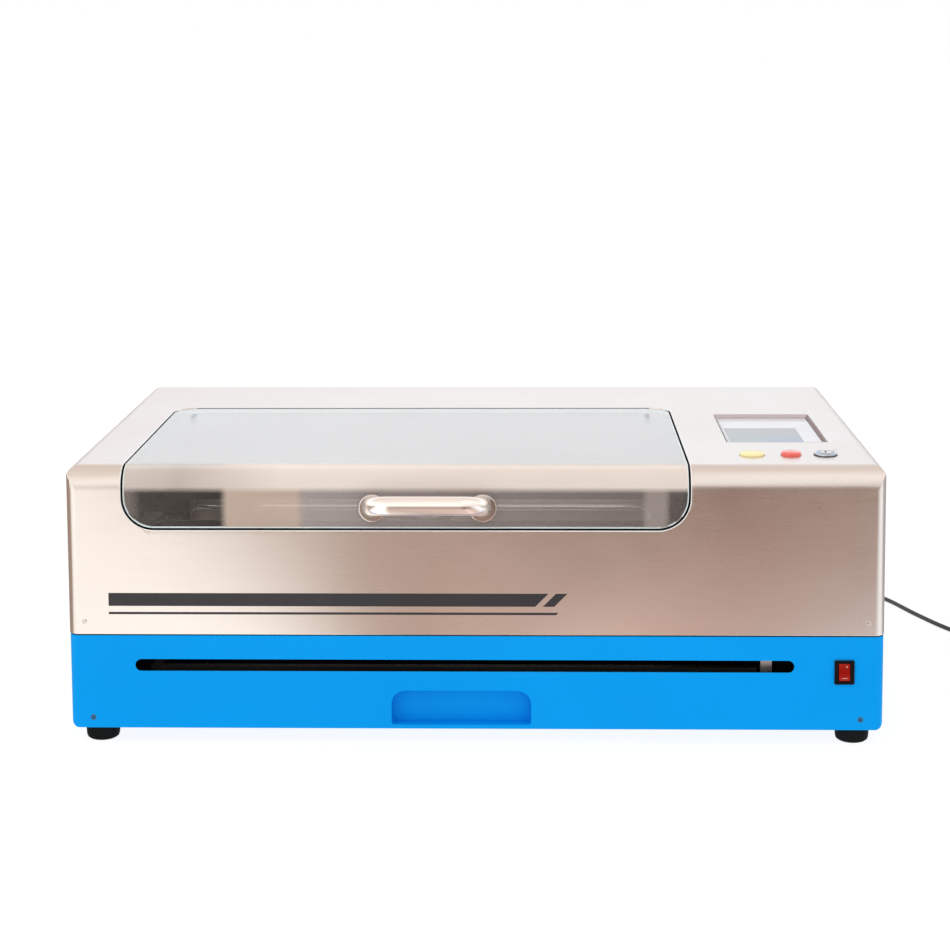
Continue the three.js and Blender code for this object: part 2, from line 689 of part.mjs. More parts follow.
function hingeLeaf() {
  const { middle, outer, radius, pin } = KNUCKLE;
  const top = TOP - LID.thick - FIT - LID_AXIS.z;
  const plate = box(-outer, outer, -48, -radius - 0.5, top - 2.4, top);
  const knuckles = [-1, 1].map((s) => {
    const [a, b] = [Math.min(s * (middle + 0.5), s * outer), Math.max(s * (middle + 0.5), s * outer)];
    return join(barrelX(radius, a, b), box(a, b, -radius - 1.5, 0, top - 2.4, top));
  });
  return join(plate, ...knuckles, barrelX(pin, -outer, outer));
}

// ---- mains lead ----
// the lead drops from its connector to the floor behind the machine, rounds the right-hand rear corner
// and runs forward beside it to the coil
const CORD_ROUTE = [
  [372, 317.3, 60], [372, 331, 59.2], [373, 346, 53], [376, 358, 41], [382, 367, 26], [391, 373, 13],
  [404, 376, 5.4], [422, 377, 3.1], [446, 374, 3], [472, 366, 3], [496, 353, 3], [515, 337, 3], [530, 316, 3],
  [541, 285, 3], [552, 251, 3], [564, 220, 3], [575, 193, 3], [584, 174, 3], [594.5, 155, 3], [603, 141, 3],
  [607.5, 132.5, 3],
];
const TAIL_ROUTE = [[674.8, 133, 6.3], [675.1, 142, 7.1], [675.3, 150, 7.9], [675.3, 158.5, 8.3]];

function leadAlong(route, steps) {
  const points = route.map((place) => new THREE.Vector3(...place));
  const path = new THREE.CatmullRomCurve3(points, false, 'centripetal');
  const section = roundSection(CORD.radius, 8);
  return new THREE.ExtrudeGeometry(section, { steps, extrudePath: path, bevelEnabled: false });
}

function cordCoil() {
  const { coilRadius, coilHalf, coilTop } = CORD;
  const [inner, outer] = [coilRadius - coilHalf, coilRadius + coilHalf];
  return turned([[inner, FIT], [outer, FIT], [outer, coilTop], [inner, coilTop], [inner, FIT]], 24);
}

function cordConnector() {
  const body = alongY(roundedRect(-13, 13, -9, 9, [2, 2, 6, 6]), 3.2, 32, 1);
  const relief = turnedSolid([[0, 0], [6.5, 0], [3.8, 26], [0, 26]], 12);
  return join(body, relief.rotate([-90, 0, 0]).translate([0, 31, 0]));
}

function powerInlet() {
  const face = alongY(roundedRect(-18, 18, -13, 13, [3, 3, 3, 3]), 0, 2.4, 1);
  const body = alongY(roundedRect(-13, 13, -9.5, 9.5, [2, 2, 5.6, 5.6]), -22, 1, 1);
  return join(face, body);
}

function powerPlug() {
  const body = alongY(roundedRect(-12, 12, -8, 8, [4, 4, 4, 4]), -34, 0, 1);
  const relief = turnedSolid([[0, 0], [3.8, 0], [6.5, 20], [0, 20]], 12);
  const blade = (x) => box(x - 0.8, x + 0.8, -50, -33, -3.2, 3.2);
  const earth = turnedSolid([[0, 0], [2.4, 0], [2.4, 18], [0, 18]], 12);
  return join(
    body, relief.rotate([90, 0, 0]).translate([0, 20, 0]), blade(-6.3), blade(6.3),
    earth.rotate([90, 0, 0]).translate([0, -33, -4.5]),
  );
}

// ---- assembly ----
function buildHousing() {
  add(machine, 'base_shell', baseShell(), 'bluePaint');
  add(machine, 'upper_cover', upperCover(), 'steel');
  for (const [row, y] of [['front', -239], ['rear', 232]]) {
    for (const [side, x] of [['left', -401], ['right', 401]]) {
      add(groupAt(machine, x, y, 0), `foot_${row}_${side}`, foot(), 'rubber');
    }
  }
  add(machine, 'lid_seal', lidSeal(), 'rubber');
}

function buildChamber() {
  add(machine, 'motion_frame', motionFrame(), 'zinc');
  add(machine, 'chamber_side_wall', sideWall(), 'zinc');
  add(machine, 'chamber_rear_wall', rearWall(), 'zinc');
  add(machine, 'bed_frame', bedFrame(), 'aluminium');
  add(machine, 'honeycomb_bed', honeycombBed(), 'aluminium');
  add(machine, 'crumb_tray', bedTray(), 'zinc');
}

function buildTubeBay() {
  add(groupAt(machine, TUBE.left, TUBE.y, OPTIC_Z), 'laser_tube', laserTube(), 'glass');
  add(groupAt(machine, -250, TUBE.y, 0), 'tube_clamp_left', tubeClamp(), 'blackPlastic');
  add(groupAt(machine, 262, TUBE.y, 0), 'tube_clamp_right', tubeClamp(), 'blackPlastic');
  add(groupAt(machine, OPTIC_X, TUBE.y, 0), 'mirror_mount_rear', rearMirror(), 'aluminium');
  const exhaust = groupAt(machine, EXHAUST.x, REAR, EXHAUST.z);
  add(groupAt(exhaust, 0, -SHEET - FIT - 12, 0), 'exhaust_fan_housing', exhaustFanHousing(), 'blackPlastic');
  add(groupAt(exhaust, 0, -SHEET - FIT - 12, 0), 'fan_rotor', fanRotor(), 'blackPlastic');
  add(groupAt(exhaust, 0, FIT, 0), 'exhaust_collar', exhaustCollar(), 'aluminium');
}

function buildElectronics() {
  add(machine, 'laser_power_supply', box(268, 408, -80, 105, DECK.z + 4, 196), 'zinc');
  add(machine, 'control_board', controlBoard(), 'board');
  const motorPlace = groupAt(machine, WALL_X + SHEET + 2, BELT.rear, BELT.z);
  add(motorPlace, 'y_motor', stepperMotor(21, 40), 'blackPlastic').rotation.y = Math.PI / 2;
  add(groupAt(machine, INLET.x, REAR, INLET.z), 'power_inlet', powerInlet(), 'blackPlastic');
}

function buildControls() {
  add(machine, 'screen_frame', screenFrame(), 'steel');
  add(machine, 'screen_panel', screenPanel(), 'screen');
  add(groupAt(machine, YELLOW.x, BUTTON_Y, TOP), 'yellow_button', pushButton(YELLOW), 'yellow');
  add(groupAt(machine, RED.x, BUTTON_Y, TOP), 'red_button', pushButton(RED), 'red');
  const key = groupAt(machine, KEY.x, BUTTON_Y, TOP);
  add(key, 'key_switch_body', keySwitchBody(), 'chrome');
  add(key, 'key_barrel', keyBarrel(), 'chrome');
  const power = groupAt(machine, SWITCH.x, 0, SWITCH.z);
  add(power, 'switch_bezel', switchBezel(), 'blackPlastic');
  const rocker = add(groupAt(power, 0, FRONT + BASE_INSET, 0), 'power_rocker', powerRocker(), 'red');
  rocker.rotation.x = -THREE.MathUtils.degToRad(ROCKER_TILT);
}

function buildMotion() {
  add(groupAt(machine, RAIL.left, 0, 0), 'y_rail_left', yRail(), 'aluminium');
  add(groupAt(machine, RAIL.right, 0, 0), 'y_rail_right', yRail(), 'aluminium');
  add(groupAt(machine, BELT.left, 0, 0), 'y_belt_left', yBelt(), 'rubber');
  add(groupAt(machine, BELT.right, 0, 0), 'y_belt_right', yBelt(), 'rubber');
  add(groupAt(machine, 0, BELT.rear, BELT.z), 'y_drive_shaft', yDriveShaft(), 'chrome');

  const gantry = groupAt(machine, 0, GANTRY_Y, 0);
  add(gantry, 'gantry_beam', gantryBeam(), 'aluminium');
  add(groupAt(gantry, RAIL.left, 0, 0), 'gantry_truck_left', gantryTruck(-42, 16, -1), 'aluminium');
  add(groupAt(gantry, RAIL.right, 0, 0), 'gantry_truck_right', gantryTruck(-16, 21.5, 1), 'aluminium');
  add(groupAt(gantry, OPTIC_X, 0, 0), 'mirror_mount_gantry', gantryMirror(), 'blackPlastic');
  add(groupAt(gantry, X_BELT.right, 0, 0), 'x_motor', xMotor(), 'blackPlastic');
  add(groupAt(gantry, X_BELT.right, 0, 0), 'x_drive_pulley', xDrivePulley(), 'aluminium');
  add(gantry, 'x_belt', xBelt(), 'rubber');

  const carriage = groupAt(gantry, CARRIAGE_X, 0, 0);
  add(carriage, 'carriage_plate', carriagePlate(), 'aluminium');
  const head = groupAt(carriage, 0, HEAD_Y, 0);
  add(head, 'laser_head', laserHead(), 'aluminium');
  add(head, 'nozzle', nozzle(), 'brass');
}

function buildLid() {
  const lid = groupAt(machine, 0, LID_AXIS.y, LID_AXIS.z);
  add(groupAt(lid, 0, -LID_AXIS.y, -LID_AXIS.z), 'lid_panel', lidPanel(), 'acrylic');
  const grip = groupAt(lid, HANDLE.x, FRONT - LID_AXIS.y - FIT, HANDLE.z - LID_AXIS.z);
  add(grip, 'lid_handle', bowHandle(), 'steel');
  for (const [side, sign] of [['left', -1], ['right', 1]]) {
    add(groupAt(grip, (sign * HANDLE.spacing) / 2, 0, 0), `handle_rosette_${side}`, rosette(), 'steel');
    const x = sign < 0 ? LID.left + 27 : LID.right - 27;
    add(groupAt(lid, x, 0, 0), `hinge_leaf_${side}`, hingeLeaf(), 'chrome');
    add(groupAt(machine, x, LID_AXIS.y, LID_AXIS.z), `hinge_bracket_${side}`, hingeBracket(), 'zinc');
  }
}

function buildLead() {
  add(groupAt(machine, INLET.x, REAR, INLET.z), 'cord_connector', cordConnector(), 'cord');
  add(machine, 'power_cord', leadAlong(CORD_ROUTE, 46), 'cord');
  add(groupAt(machine, CORD.coilX, CORD.coilY, 0), 'cord_coil', cordCoil(), 'cord');
  add(machine, 'cord_tail', leadAlong(TAIL_ROUTE, 3), 'cord');
  const plug = add(groupAt(machine, ...PLUG.at), 'power_plug', powerPlug(), 'cord');
  plug.rotation.z = THREE.MathUtils.degToRad(PLUG.turn);
}

buildHousing();
buildChamber();
buildTubeBay();
buildElectronics();
buildControls();
buildMotion();
buildLid();
buildLead();

export default machine;
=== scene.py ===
import math
import random

import bmesh
import bpy
from mathutils import Matrix, Vector


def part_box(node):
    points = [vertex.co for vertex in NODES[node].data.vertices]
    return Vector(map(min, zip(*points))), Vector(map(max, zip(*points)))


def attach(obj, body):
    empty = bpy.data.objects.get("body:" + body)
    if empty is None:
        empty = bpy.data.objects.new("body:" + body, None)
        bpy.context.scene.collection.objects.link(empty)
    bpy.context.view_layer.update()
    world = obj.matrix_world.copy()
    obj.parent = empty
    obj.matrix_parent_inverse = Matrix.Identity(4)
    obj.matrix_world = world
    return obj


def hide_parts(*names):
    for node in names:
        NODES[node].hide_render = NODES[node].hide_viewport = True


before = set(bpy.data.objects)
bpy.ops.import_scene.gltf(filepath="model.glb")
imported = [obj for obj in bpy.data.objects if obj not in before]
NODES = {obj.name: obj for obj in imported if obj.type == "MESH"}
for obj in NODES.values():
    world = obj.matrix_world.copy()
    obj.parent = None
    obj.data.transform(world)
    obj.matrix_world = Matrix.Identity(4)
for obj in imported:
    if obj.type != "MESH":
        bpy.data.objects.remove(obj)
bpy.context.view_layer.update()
scene = bpy.context.scene
MM = 0.001
TURN = 2 * math.pi
QUARTER = math.pi / 2
X, Y, Z = Vector((1, 0, 0)), Vector((0, 1, 0)), Vector((0, 0, 1))

# ---- the machine's main sizes, in millimetres as in the CAD source ----
lo, hi = (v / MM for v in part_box("upper_cover"))
SIDE, FRONT, REAR, TOP, SEAM = hi.x, lo.y, hi.y, hi.z, lo.z
SHEET = 2.0
COVER_BEND = 24.0
BASE_INSET = 0.5
FIT = 0.3
lo, hi = (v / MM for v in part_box("lid_panel"))
LID = {
    "left": lo.x, "right": hi.x, "rear": hi.y, "bottom": lo.z, "thick": 4.5, "rear_radius": 24,
    "front_radius": 32}
LID_GAP, REAR_GAP = 2.3, 5
HANDLE = {"x": -49, "z": 255, "spacing": 116, "reach": 36, "rise": 10, "radius": 10, "bend": 22}
SLOT = (-361, 337, 78, 91)
GRIP = {"left": -88.7, "right": 59.5, "low": 20.5, "high": 57.4, "depth": 16, "corner": 15}
SWITCH = {"x": 389.5, "z": 79, "width": 21, "height": 26}
SCREEN = {"left": 277.5, "right": 389.5, "front": -119, "rear": 56, "bevel": 2.2, "depth": 3.6}
BUTTON_Y = -191
YELLOW, RED, KEY = (298, 13.3, 3.2), (339.5, 10.8, 4.6), (376.5, 12.2, 3.0)
EXHAUST = {"x": -72, "z": 172, "radius": 50}
INLET = (372, 60)
VENT_PITCH = 9


def new_object(name, data):
    obj = bpy.data.objects.new(name, data)
    scene.collection.objects.link(obj)
    return obj


# ---- camera ----
def make_camera():
    data = bpy.data.cameras.new("camera")
    data.lens, data.sensor_width, data.shift_y = 79.73, 36, -0.22
    data.clip_start, data.clip_end = 0.05, 200
    camera = new_object("camera", data)
    yaw, pitch, roll = (math.radians(a) for a in (-1.57, 6.12, -0.295))
    forward = Vector((math.sin(yaw) * math.cos(pitch), math.cos(yaw) * math.cos(pitch), -math.sin(pitch)))
    level = Vector((math.cos(yaw), -math.sin(yaw), 0))
    above = level.cross(forward)
    right = level * math.cos(roll) + above * math.sin(roll)
    up = above * math.cos(roll) - level * math.sin(roll)
    axes = Matrix((right, up, -forward)).transposed().to_4x4()
    camera.matrix_world = Matrix.Translation(Vector((61.8, -2428, 743)) * MM) @ axes
    scene.camera = camera


make_camera()


# ---- materials ----
class Look:
    """A node material that is put together a step at a time."""

    def __init__(self, name):
        self.material = bpy.data.materials.new(name)
        self.material.use_nodes = True
        self.tree = self.material.node_tree
        self.bsdf = self.tree.nodes["Principled BSDF"]
        self.place = self.add("ShaderNodeTexCoord").outputs["Object"]

    def add(self, kind, **values):
        node = self.tree.nodes.new(kind)
        for key, value in values.items():
            if hasattr(node, key):
                setattr(node, key, value)
            else:
                node.inputs[key.replace("_", " ")].default_value = value
        return node

    def link(self, a, b):
        self.tree.links.new(a, b)

    def noise(self, scale, detail=3.0, rough=0.55, stretch=(1, 1, 1), distort=0.0):
        mapping = self.add("ShaderNodeMapping")
        mapping.inputs["Scale"].default_value = stretch
        self.link(self.place, mapping.inputs["Vector"])
        node = self.add(
            "ShaderNodeTexNoise", Scale=scale, Detail=detail, Roughness=rough, Distortion=distort)
        self.link(mapping.outputs["Vector"], node.inputs["Vector"])
        return node.outputs["Fac"]

    def span(self, value, low, high, from_low=0.3, from_high=0.7):
        node = self.add("ShaderNodeMapRange")
        node.clamp = True
        for name, number in (
                ("From Min", from_low), ("From Max", from_high), ("To Min", low), ("To Max", high)):
            node.inputs[name].default_value = number
        self.link(value, node.inputs["Value"])
        return node.outputs["Result"]

    def ramp(self, value, *stops):
        node = self.add("ShaderNodeValToRGB")
        while len(node.color_ramp.elements) < len(stops):
            node.color_ramp.elements.new(0.5)
        for element, (at, color) in zip(node.color_ramp.elements, stops):
            element.position, element.color = at, (*color, 1)
        self.link(value, node.inputs["Fac"])
        return node.outputs["Color"]

    def mix(self, factor, a, b):
        node = self.add("ShaderNodeMix", data_type="RGBA", blend_type="MIX")
        for name, value in (("Factor", factor), ("A", a), ("B", b)):
            target = next(
                s
                for s in node.inputs if s.name == name and s.enabled and (
                    name == "Factor") == (s.type == "VALUE"))
            if hasattr(value, "is_linked"):
                self.link(value, target)
            else:
                target.default_value = (*value, 1) if isinstance(value, tuple) else value
        return next(s for s in node.outputs if s.type == "RGBA" and s.enabled)

    def bump(self, height, distance, strength=0.5):
        node = self.add("ShaderNodeBump")
        node.inputs["Distance"].default_value = distance
        node.inputs["Strength"].default_value = strength
        self.link(height, node.inputs["Height"])
        previous = self.bsdf.inputs["Normal"]
        if previous.is_linked:
            self.link(previous.links[0].from_socket, node.inputs["Normal"])
        self.link(node.outputs["Normal"], self.bsdf.inputs["Normal"])

    def color(self, value):
        self.link(value, self.bsdf.inputs["Base Color"])

    def rough(self, value):
        self.link(value, self.bsdf.inputs["Roughness"])

    def math(self, operation, *values, **options):
        node = self.add("ShaderNodeMath", operation=operation, **options)
        for each, place in zip(values, node.inputs):
            self.link(each, place)
        return node.outputs[0]

    def blend_shaders(self, factor, a, b):
        node = self.add("ShaderNodeMixShader")
        for value, place in zip((factor, a, b), node.inputs):
            self.link(value, place)
        return node.outputs[0]

    def edges(self):
        """1 on the outer edges, where wear and a painted highlight show, and 0 elsewhere."""
        node = self.add("ShaderNodeNewGeometry")
        return self.span(node.outputs["Pointiness"], 0.0, 1.0, 0.52, 0.6)

    def settings(self, **values):
        for key, value in values.items():
            self.bsdf.inputs[key.replace("_", " ")].default_value = value
        return self


def shade(color, factor):
    return tuple(min(c * factor, 1.0) for c in color)


def plain(
        name, color, rough, metallic=0.0, spread=0.05, tint=0.08, grain=900, grain_depth=0.00004, wear_and_edge_highlight=None,
        stretch=(1, 1, 1), patches=14, **settings):
    """A moulded, painted or cast surface: patchy colour, uneven gloss, fine grain, and lighter edges that are
    partly wear and partly a painted highlight.
    """
    look = Look(name)
    base = look.ramp(look.noise(patches, 5), (0.35, shade(color, 1 - tint)), (0.65, shade(color, 1 + tint)))
    # lighter colour on the outer edges: partly wear, partly a painted highlight
    if wear_and_edge_highlight:
        base = look.mix(look.edges(), base, wear_and_edge_highlight)
    look.color(base)
    look.rough(
        look.span(look.noise(patches * 2.3, 6, 0.65), max(rough - spread, 0.02), min(rough + spread, 1)))
    look.bump(look.noise(grain, 3, 0.6, stretch), grain_depth)
    look.settings(Metallic=metallic, **settings)
    return look.material


def brushed(
        name, color, rough, spread=0.06, tint=0.05, anisotropic=0.0, warm=None, marks=True, metallic=1.0):
    """Rolled or brushed sheet metal, with long fine scratches along X and faint handling marks."""
    look = Look(name)
    fine = look.noise(1500, 3, 0.6, (0.012, 1, 1))
    broad = look.noise(120, 3, 0.6, (0.06, 1, 1))
    tone = look.ramp(fine, (0.3, shade(color, 1 - tint)), (0.7, shade(color, 1 + tint)))
    tone = look.mix(look.span(broad, 0.0, 0.4), tone, shade(warm or color, 1 - tint))
    if marks:
        smudge = look.span(look.noise(7, 6, 0.62, distort=0.4), 0.0, 0.25, 0.5, 0.75)
        tone = look.mix(smudge, tone, shade(color, 1 - 1.6 * tint))
    look.color(tone)
    broad_gloss = look.span(look.noise(4, 5, 0.6), rough - spread, rough + spread)
    look.rough(look.math("ADD", look.span(fine, -spread / 3, spread / 3), broad_gloss))
    look.bump(fine, 0.000008, 0.2)
    look.bump(look.noise(3.0, 1), 0.0008, 0.1)
    look.settings(Metallic=metallic, Anisotropic=anisotropic)
    if anisotropic:
        tangent = look.add("ShaderNodeTangent", direction_type="RADIAL", axis="X")
        look.link(tangent.outputs["Tangent"], look.bsdf.inputs["Tangent"])
    return look.material


def acrylic(name, haze, sheet=False):
    """Clear sheet that lets light straight through, with gloss from Fresnel, a little haze, dust and smears.

    A bent sheet also gets a painted highlight along its bend, and a painted reflection on its front that is
    stronger in some places."""
    look = Look(name)
    look.tree.nodes.remove(look.bsdf)
    geometry = look.add("ShaderNodeNewGeometry")
    ior = 1.22 if sheet else 1.49
    index = look.span(geometry.outputs["Backfacing"], ior, 1 / ior, 0.0, 1.0)
    fresnel = look.add("ShaderNodeFresnel")
    look.link(index, fresnel.inputs["IOR"])
    clear = look.add("ShaderNodeBsdfTransparent")
    clear.inputs["Color"].default_value = (0.975, 0.965, 0.955, 1)
    gloss = look.add("ShaderNodeBsdfGlossy")
    look.link(look.span(look.noise(5, 3, 0.5), 0.05, 0.07), gloss.inputs["Roughness"])
    haze_and_painted_reflection = look.add("ShaderNodeBsdfDiffuse")
    haze_and_painted_reflection.inputs["Color"].default_value = (0.96, 0.945, 0.94, 1)
    dust = look.span(look.noise(700, 2, 0.5), 0.0, 0.3, 0.72, 0.77)
    smear = look.span(look.noise(4, 2, 0.5, (1, 1, 1.6)), 0.95, 1.05)
    facing = look.add("ShaderNodeLayerWeight", Blend=0.5)
    grazing = look.span(facing.outputs["Facing"], haze[0], haze[1], 0.25, 0.85)
    veil = look.math("MULTIPLY", smear, grazing)
    # a bent sheet mixes a painted reflection over its front and a painted highlight along its bend into the
    # haze
    if sheet:
        split = look.add("ShaderNodeSeparateXYZ")
        look.link(look.place, split.inputs[0])
        across = look.span(split.outputs["X"], 0, 1, -0.37, 0.23)
        on_front = look.span(split.outputs["Y"], 1, 0, -0.245, -0.236)
        bend = look.math("MULTIPLY", look.span(split.outputs["Z"], 0, 1, 0.2705, 0.277), on_front)
        painted_reflection_amount = look.ramp(across, *[(at, (v, v, v)) for at, v in PAINTED_REFLECTION_AMOUNT])
        tone = look.ramp(across, *PAINTED_REFLECTION_TONE)
        bend_painted_highlight_amount = look.ramp(across, *[(at, (v, v, v)) for at, v in BEND_PAINTED_HIGHLIGHT_AMOUNT])
        layer = look.mix(bend, look.mix(on_front, (0, 0, 0), painted_reflection_amount), bend_painted_highlight_amount)
        veil = look.math("ADD", veil, look.math("MULTIPLY", layer, smear))
        look.link(
            look.mix(bend, look.mix(on_front, (0.96, 0.945, 0.94), tone), (0.85, 0.74, 0.665)),
            haze_and_painted_reflection.inputs["Color"])
    total = look.math("ADD", dust, veil, use_clamp=True)
    hazy = look.blend_shaders(total, clear.outputs[0], haze_and_painted_reflection.outputs[0])
    shiny = look.blend_shaders(fresnel.outputs[0], hazy, gloss.outputs[0])
    look.link(shiny, look.tree.nodes["Material Output"].inputs["Surface"])
    return look.material


# painted reflection on the lid's front, how strong it is and its tone from its left edge to its right one, and
# the painted highlight along its bend
PAINTED_REFLECTION_AMOUNT = [
    (0.0, 0.2), (0.03, 0.04), (0.17, 0.012), (0.183, 0.46), (0.305, 0.43), (0.315, 0.34), (0.7, 0.2),
    (0.91, 0.15), (0.92, 0.34), (0.95, 0.34), (0.96, 0.1), (1.0, 0.08)]
PAINTED_REFLECTION_TONE = [
    (0.17, (0.6, 0.5, 0.45)), (0.183, (0.80, 0.63, 0.52)), (0.305, (0.80, 0.63, 0.52)),
    (0.32, (0.66, 0.58, 0.555)), (1.0, (0.6, 0.5, 0.46))]
BEND_PAINTED_HIGHLIGHT_AMOUNT = [(0.0, 0.55), (0.1, 0.42), (0.28, 0.8), (1.0, 0.8)]


# the lighter edge colours given below are partly wear and partly a painted highlight
STEEL_TONE = (0.80, 0.745, 0.705)
steel = brushed(
    "brushed_stainless", STEEL_TONE, 0.27, spread=0.04, tint=0.025, anisotropic=0.5,
    warm=(0.80, 0.73, 0.685))
# bright colour for the bevelled edge round the lid opening: a painted highlight
opening_painted_highlight = plain("painted_highlight_edge", (0.93, 0.9, 0.87), 0.3, 0.25, tint=0.03)
rosette_steel = brushed("rosette_steel", (0.6, 0.56, 0.54), 0.16, spread=0.04, tint=0.04, marks=False)
handle_steel = brushed(
    "handle_satin_steel", (0.97, 0.91, 0.86), 0.15, spread=0.03, tint=0.03, marks=False, metallic=0.88)
anodised = plain(
    "anodised_aluminium", (0.62, 0.625, 0.63), 0.34, 1.0, tint=0.05, grain=1400, grain_depth=0.00002)
chrome = plain("chrome_plate", (0.86, 0.87, 0.89), 0.08, 1.0, spread=0.03, tint=0.02, grain_depth=0.00001)
brass = plain(
    "turned_brass", (0.72, 0.52, 0.24), 0.24, 1.0, tint=0.06, stretch=(1, 1, 12), grain_depth=0.00003)
blue_paint = plain("blue_powder_coat", (0.0, 0.315, 0.82), 0.42, spread=0.05, tint=0.025, grain=1300,
                   grain_depth=0.00004, wear_and_edge_highlight=(0.004, 0.36, 0.88), patches=5, Specular_IOR_Level=0.05)
# near-black for the base's inside faces: painted shade
base_inside_painted_shade = plain("painted_shade_inside_base", (0.006, 0.006, 0.008), 0.7, tint=0.2, Specular_IOR_Level=0.1)
foot_rubber = plain(
    "foot_rubber", (0.006, 0.007, 0.0075), 0.7, tint=0.3, grain=1500, grain_depth=0.0001,
    wear_and_edge_highlight=(0.01, 0.01, 0.01), Specular_IOR_Level=0.04)
seal_rubber = plain(
    "seal_rubber", (0.006, 0.006, 0.007), 0.62, tint=0.2, grain=1600, grain_depth=0.00008,
    Specular_IOR_Level=0.3)
belt_rubber = plain("belt_rubber", (0.014, 0.014, 0.014), 0.6, tint=0.25, grain=1800, grain_depth=0.0001)
black_plastic = plain(
    "black_plastic", (0.016, 0.016, 0.018), 0.42, tint=0.2, grain=1600, wear_and_edge_highlight=(0.06, 0.06, 0.065))
motor_black = plain("motor_black", (0.022, 0.022, 0.024), 0.38, 0.4, tint=0.2, grain=900)
supply_case = plain("supply_case", (0.55, 0.56, 0.57), 0.42, 0.9, tint=0.06, grain=700)
board_green = plain("circuit_board", (0.01, 0.12, 0.055), 0.35, tint=0.2, grain=500, Coat_Weight=0.4)
yellow_plastic = plain(
    "yellow_plastic", (0.93, 0.79, 0.38), 0.33, tint=0.04, wear_and_edge_highlight=(0.97, 0.86, 0.5), Subsurface_Weight=0.15,
    Subsurface_Radius=(0.004, 0.003, 0.001))
red_plastic = plain(
    "red_plastic", (0.9, 0.12, 0.09), 0.28, tint=0.08, wear_and_edge_highlight=(0.85, 0.14, 0.1), Coat_Weight=0.7)
rocker_red = plain(
    "rocker_red", (0.3, 0.005, 0.003), 0.4, tint=0.08, wear_and_edge_highlight=(0.45, 0.03, 0.02), Specular_IOR_Level=0.02)
bezel_black = plain(
    "bezel_black", (0.008, 0.007, 0.01), 0.42, tint=0.2, grain=1600, wear_and_edge_highlight=(0.03, 0.025, 0.025),
    Specular_IOR_Level=0.04)
key_chrome = plain(
    "key_ring_plate", (0.3, 0.35, 0.42), 0.14, 1.0, spread=0.05, tint=0.05, wear_and_edge_highlight=(0.7, 0.75, 0.85))
cord_black = plain("cord_pvc", (0.03, 0.031, 0.034), 0.5, tint=0.2, grain=1500, grain_depth=0.00006)
graphite = plain(
    "graphite_print", (0.042, 0.038, 0.042), 0.5, tint=0.06, grain=1500, Specular_IOR_Level=0.2)
screw_steel = plain("screw_steel", (0.62, 0.6, 0.58), 0.28, 1.0, tint=0.1, grain=1200)
screw_dark = plain(
    "screw_blackened", (0.01, 0.035, 0.07), 0.45, 0.1, tint=0.2, grain=1200, wear_and_edge_highlight=(0.12, 0.2, 0.3),
    Specular_IOR_Level=0.1)
white_mark = plain("white_print", (0.62, 0.3, 0.26), 0.5, tint=0.03)
copper_red = plain("red_anodised", (0.42, 0.06, 0.035), 0.35, 0.6, tint=0.1)
clear_lid = acrylic("clear_acrylic", (0.008, 0.42), sheet=True)
# pale cyan on the lid's cut edges: frosted acrylic, partly a painted highlight
lid_rim_frost_and_highlight = plain(
    "acrylic_rim", (0.84, 0.94, 0.96), 0.25, spread=0.1, tint=0.04, grain=1800, Subsurface_Weight=0.2,
    Subsurface_Radius=(0.004, 0.005, 0.006))


# ---- geometry: every helper takes millimetres ----
def point(axis, u, v, w):
    """(u, v) of an outline and w along its axis, as (x, y, z)."""
    return {"X": (w, u, v), "Y": (u, w, v), "Z": (u, v, w)}[axis]


def rounded(u0, u1, v0, v1, radii, steps=8):
    """A rectangle's outline from its lower left corner, with a radius for each corner."""
    corners = [(u0, v0, 1, 1, 2), (u1, v0, -1, 1, 3), (u1, v1, -1, -1, 0), (u0, v1, 1, -1, 1)]
    points = []
    for (u, v, su, sv, quarter), radius in zip(corners, radii):
        if radius <= 0:
            points.append((u, v))
            continue
        count = max(1, min(steps, int(radius * 1.7)))
        for i in range(count + 1):
            angle = (quarter + i / count) * QUARTER
            points.append(
                (u + su * radius + radius * math.cos(angle), v + sv * radius + radius * math.sin(angle)))
    return points


def circle(u, v, radius, count=48):
    return [
        (u + radius * math.cos(i * TURN / count), v + radius * math.sin(i * TURN / count))
        for i in range(count)]


def arc(u, v, radius, start, end, count):
    """Points on an arc, angles in degrees."""
    angles = [math.radians(start + (end - start) * i / count) for i in range(count + 1)]
    return [(u + radius * math.cos(a), v + radius * math.sin(a)) for a in angles]


def prism(bm, outline, axis, low, high):
    ends = [[bm.verts.new(point(axis, u, v, w)) for u, v in outline] for w in (low, high)]
    bm.faces.new(ends[0])
    bm.faces.new(ends[1])
    for i in range(len(outline)):
        j = (i + 1) % len(outline)
        bm.faces.new((ends[0][i], ends[0][j], ends[1][j], ends[1][i]))


def block(bm, x0, x1, y0, y1, z0, z1):
    prism(bm, [(x0, y0), (x1, y0), (x1, y1), (x0, y1)], "Z", z0, z1)


def lathe(bm, profile, place=Matrix.Identity(4), segments=48):
    """Turns a profile of (radius, height) about Z. A profile that ends where it starts makes a ring."""
    ring_shaped = profile[0] == profile[-1]
    rings = []
    for radius, height in profile[:-1] if ring_shaped else profile:
        count = 1 if radius < 1e-6 else segments
        spots = [
            (radius * math.cos(i * TURN / count), radius * math.sin(i * TURN / count), height)
            for i in range(count)]
        rings.append([bm.verts.new(place @ Vector(p)) for p in spots])
    pairs = list(zip(rings, rings[1:] + rings[:1])) if ring_shaped else list(zip(rings, rings[1:]))
    for a, b in pairs:
        for i in range(segments):
            j = (i + 1) % segments
            corners = []
            for vert in (a[i % len(a)], a[j % len(a)], b[j % len(b)], b[i % len(b)]):
                if vert not in corners:
                    corners.append(vert)
            if len(corners) > 2:
                bm.faces.new(corners)


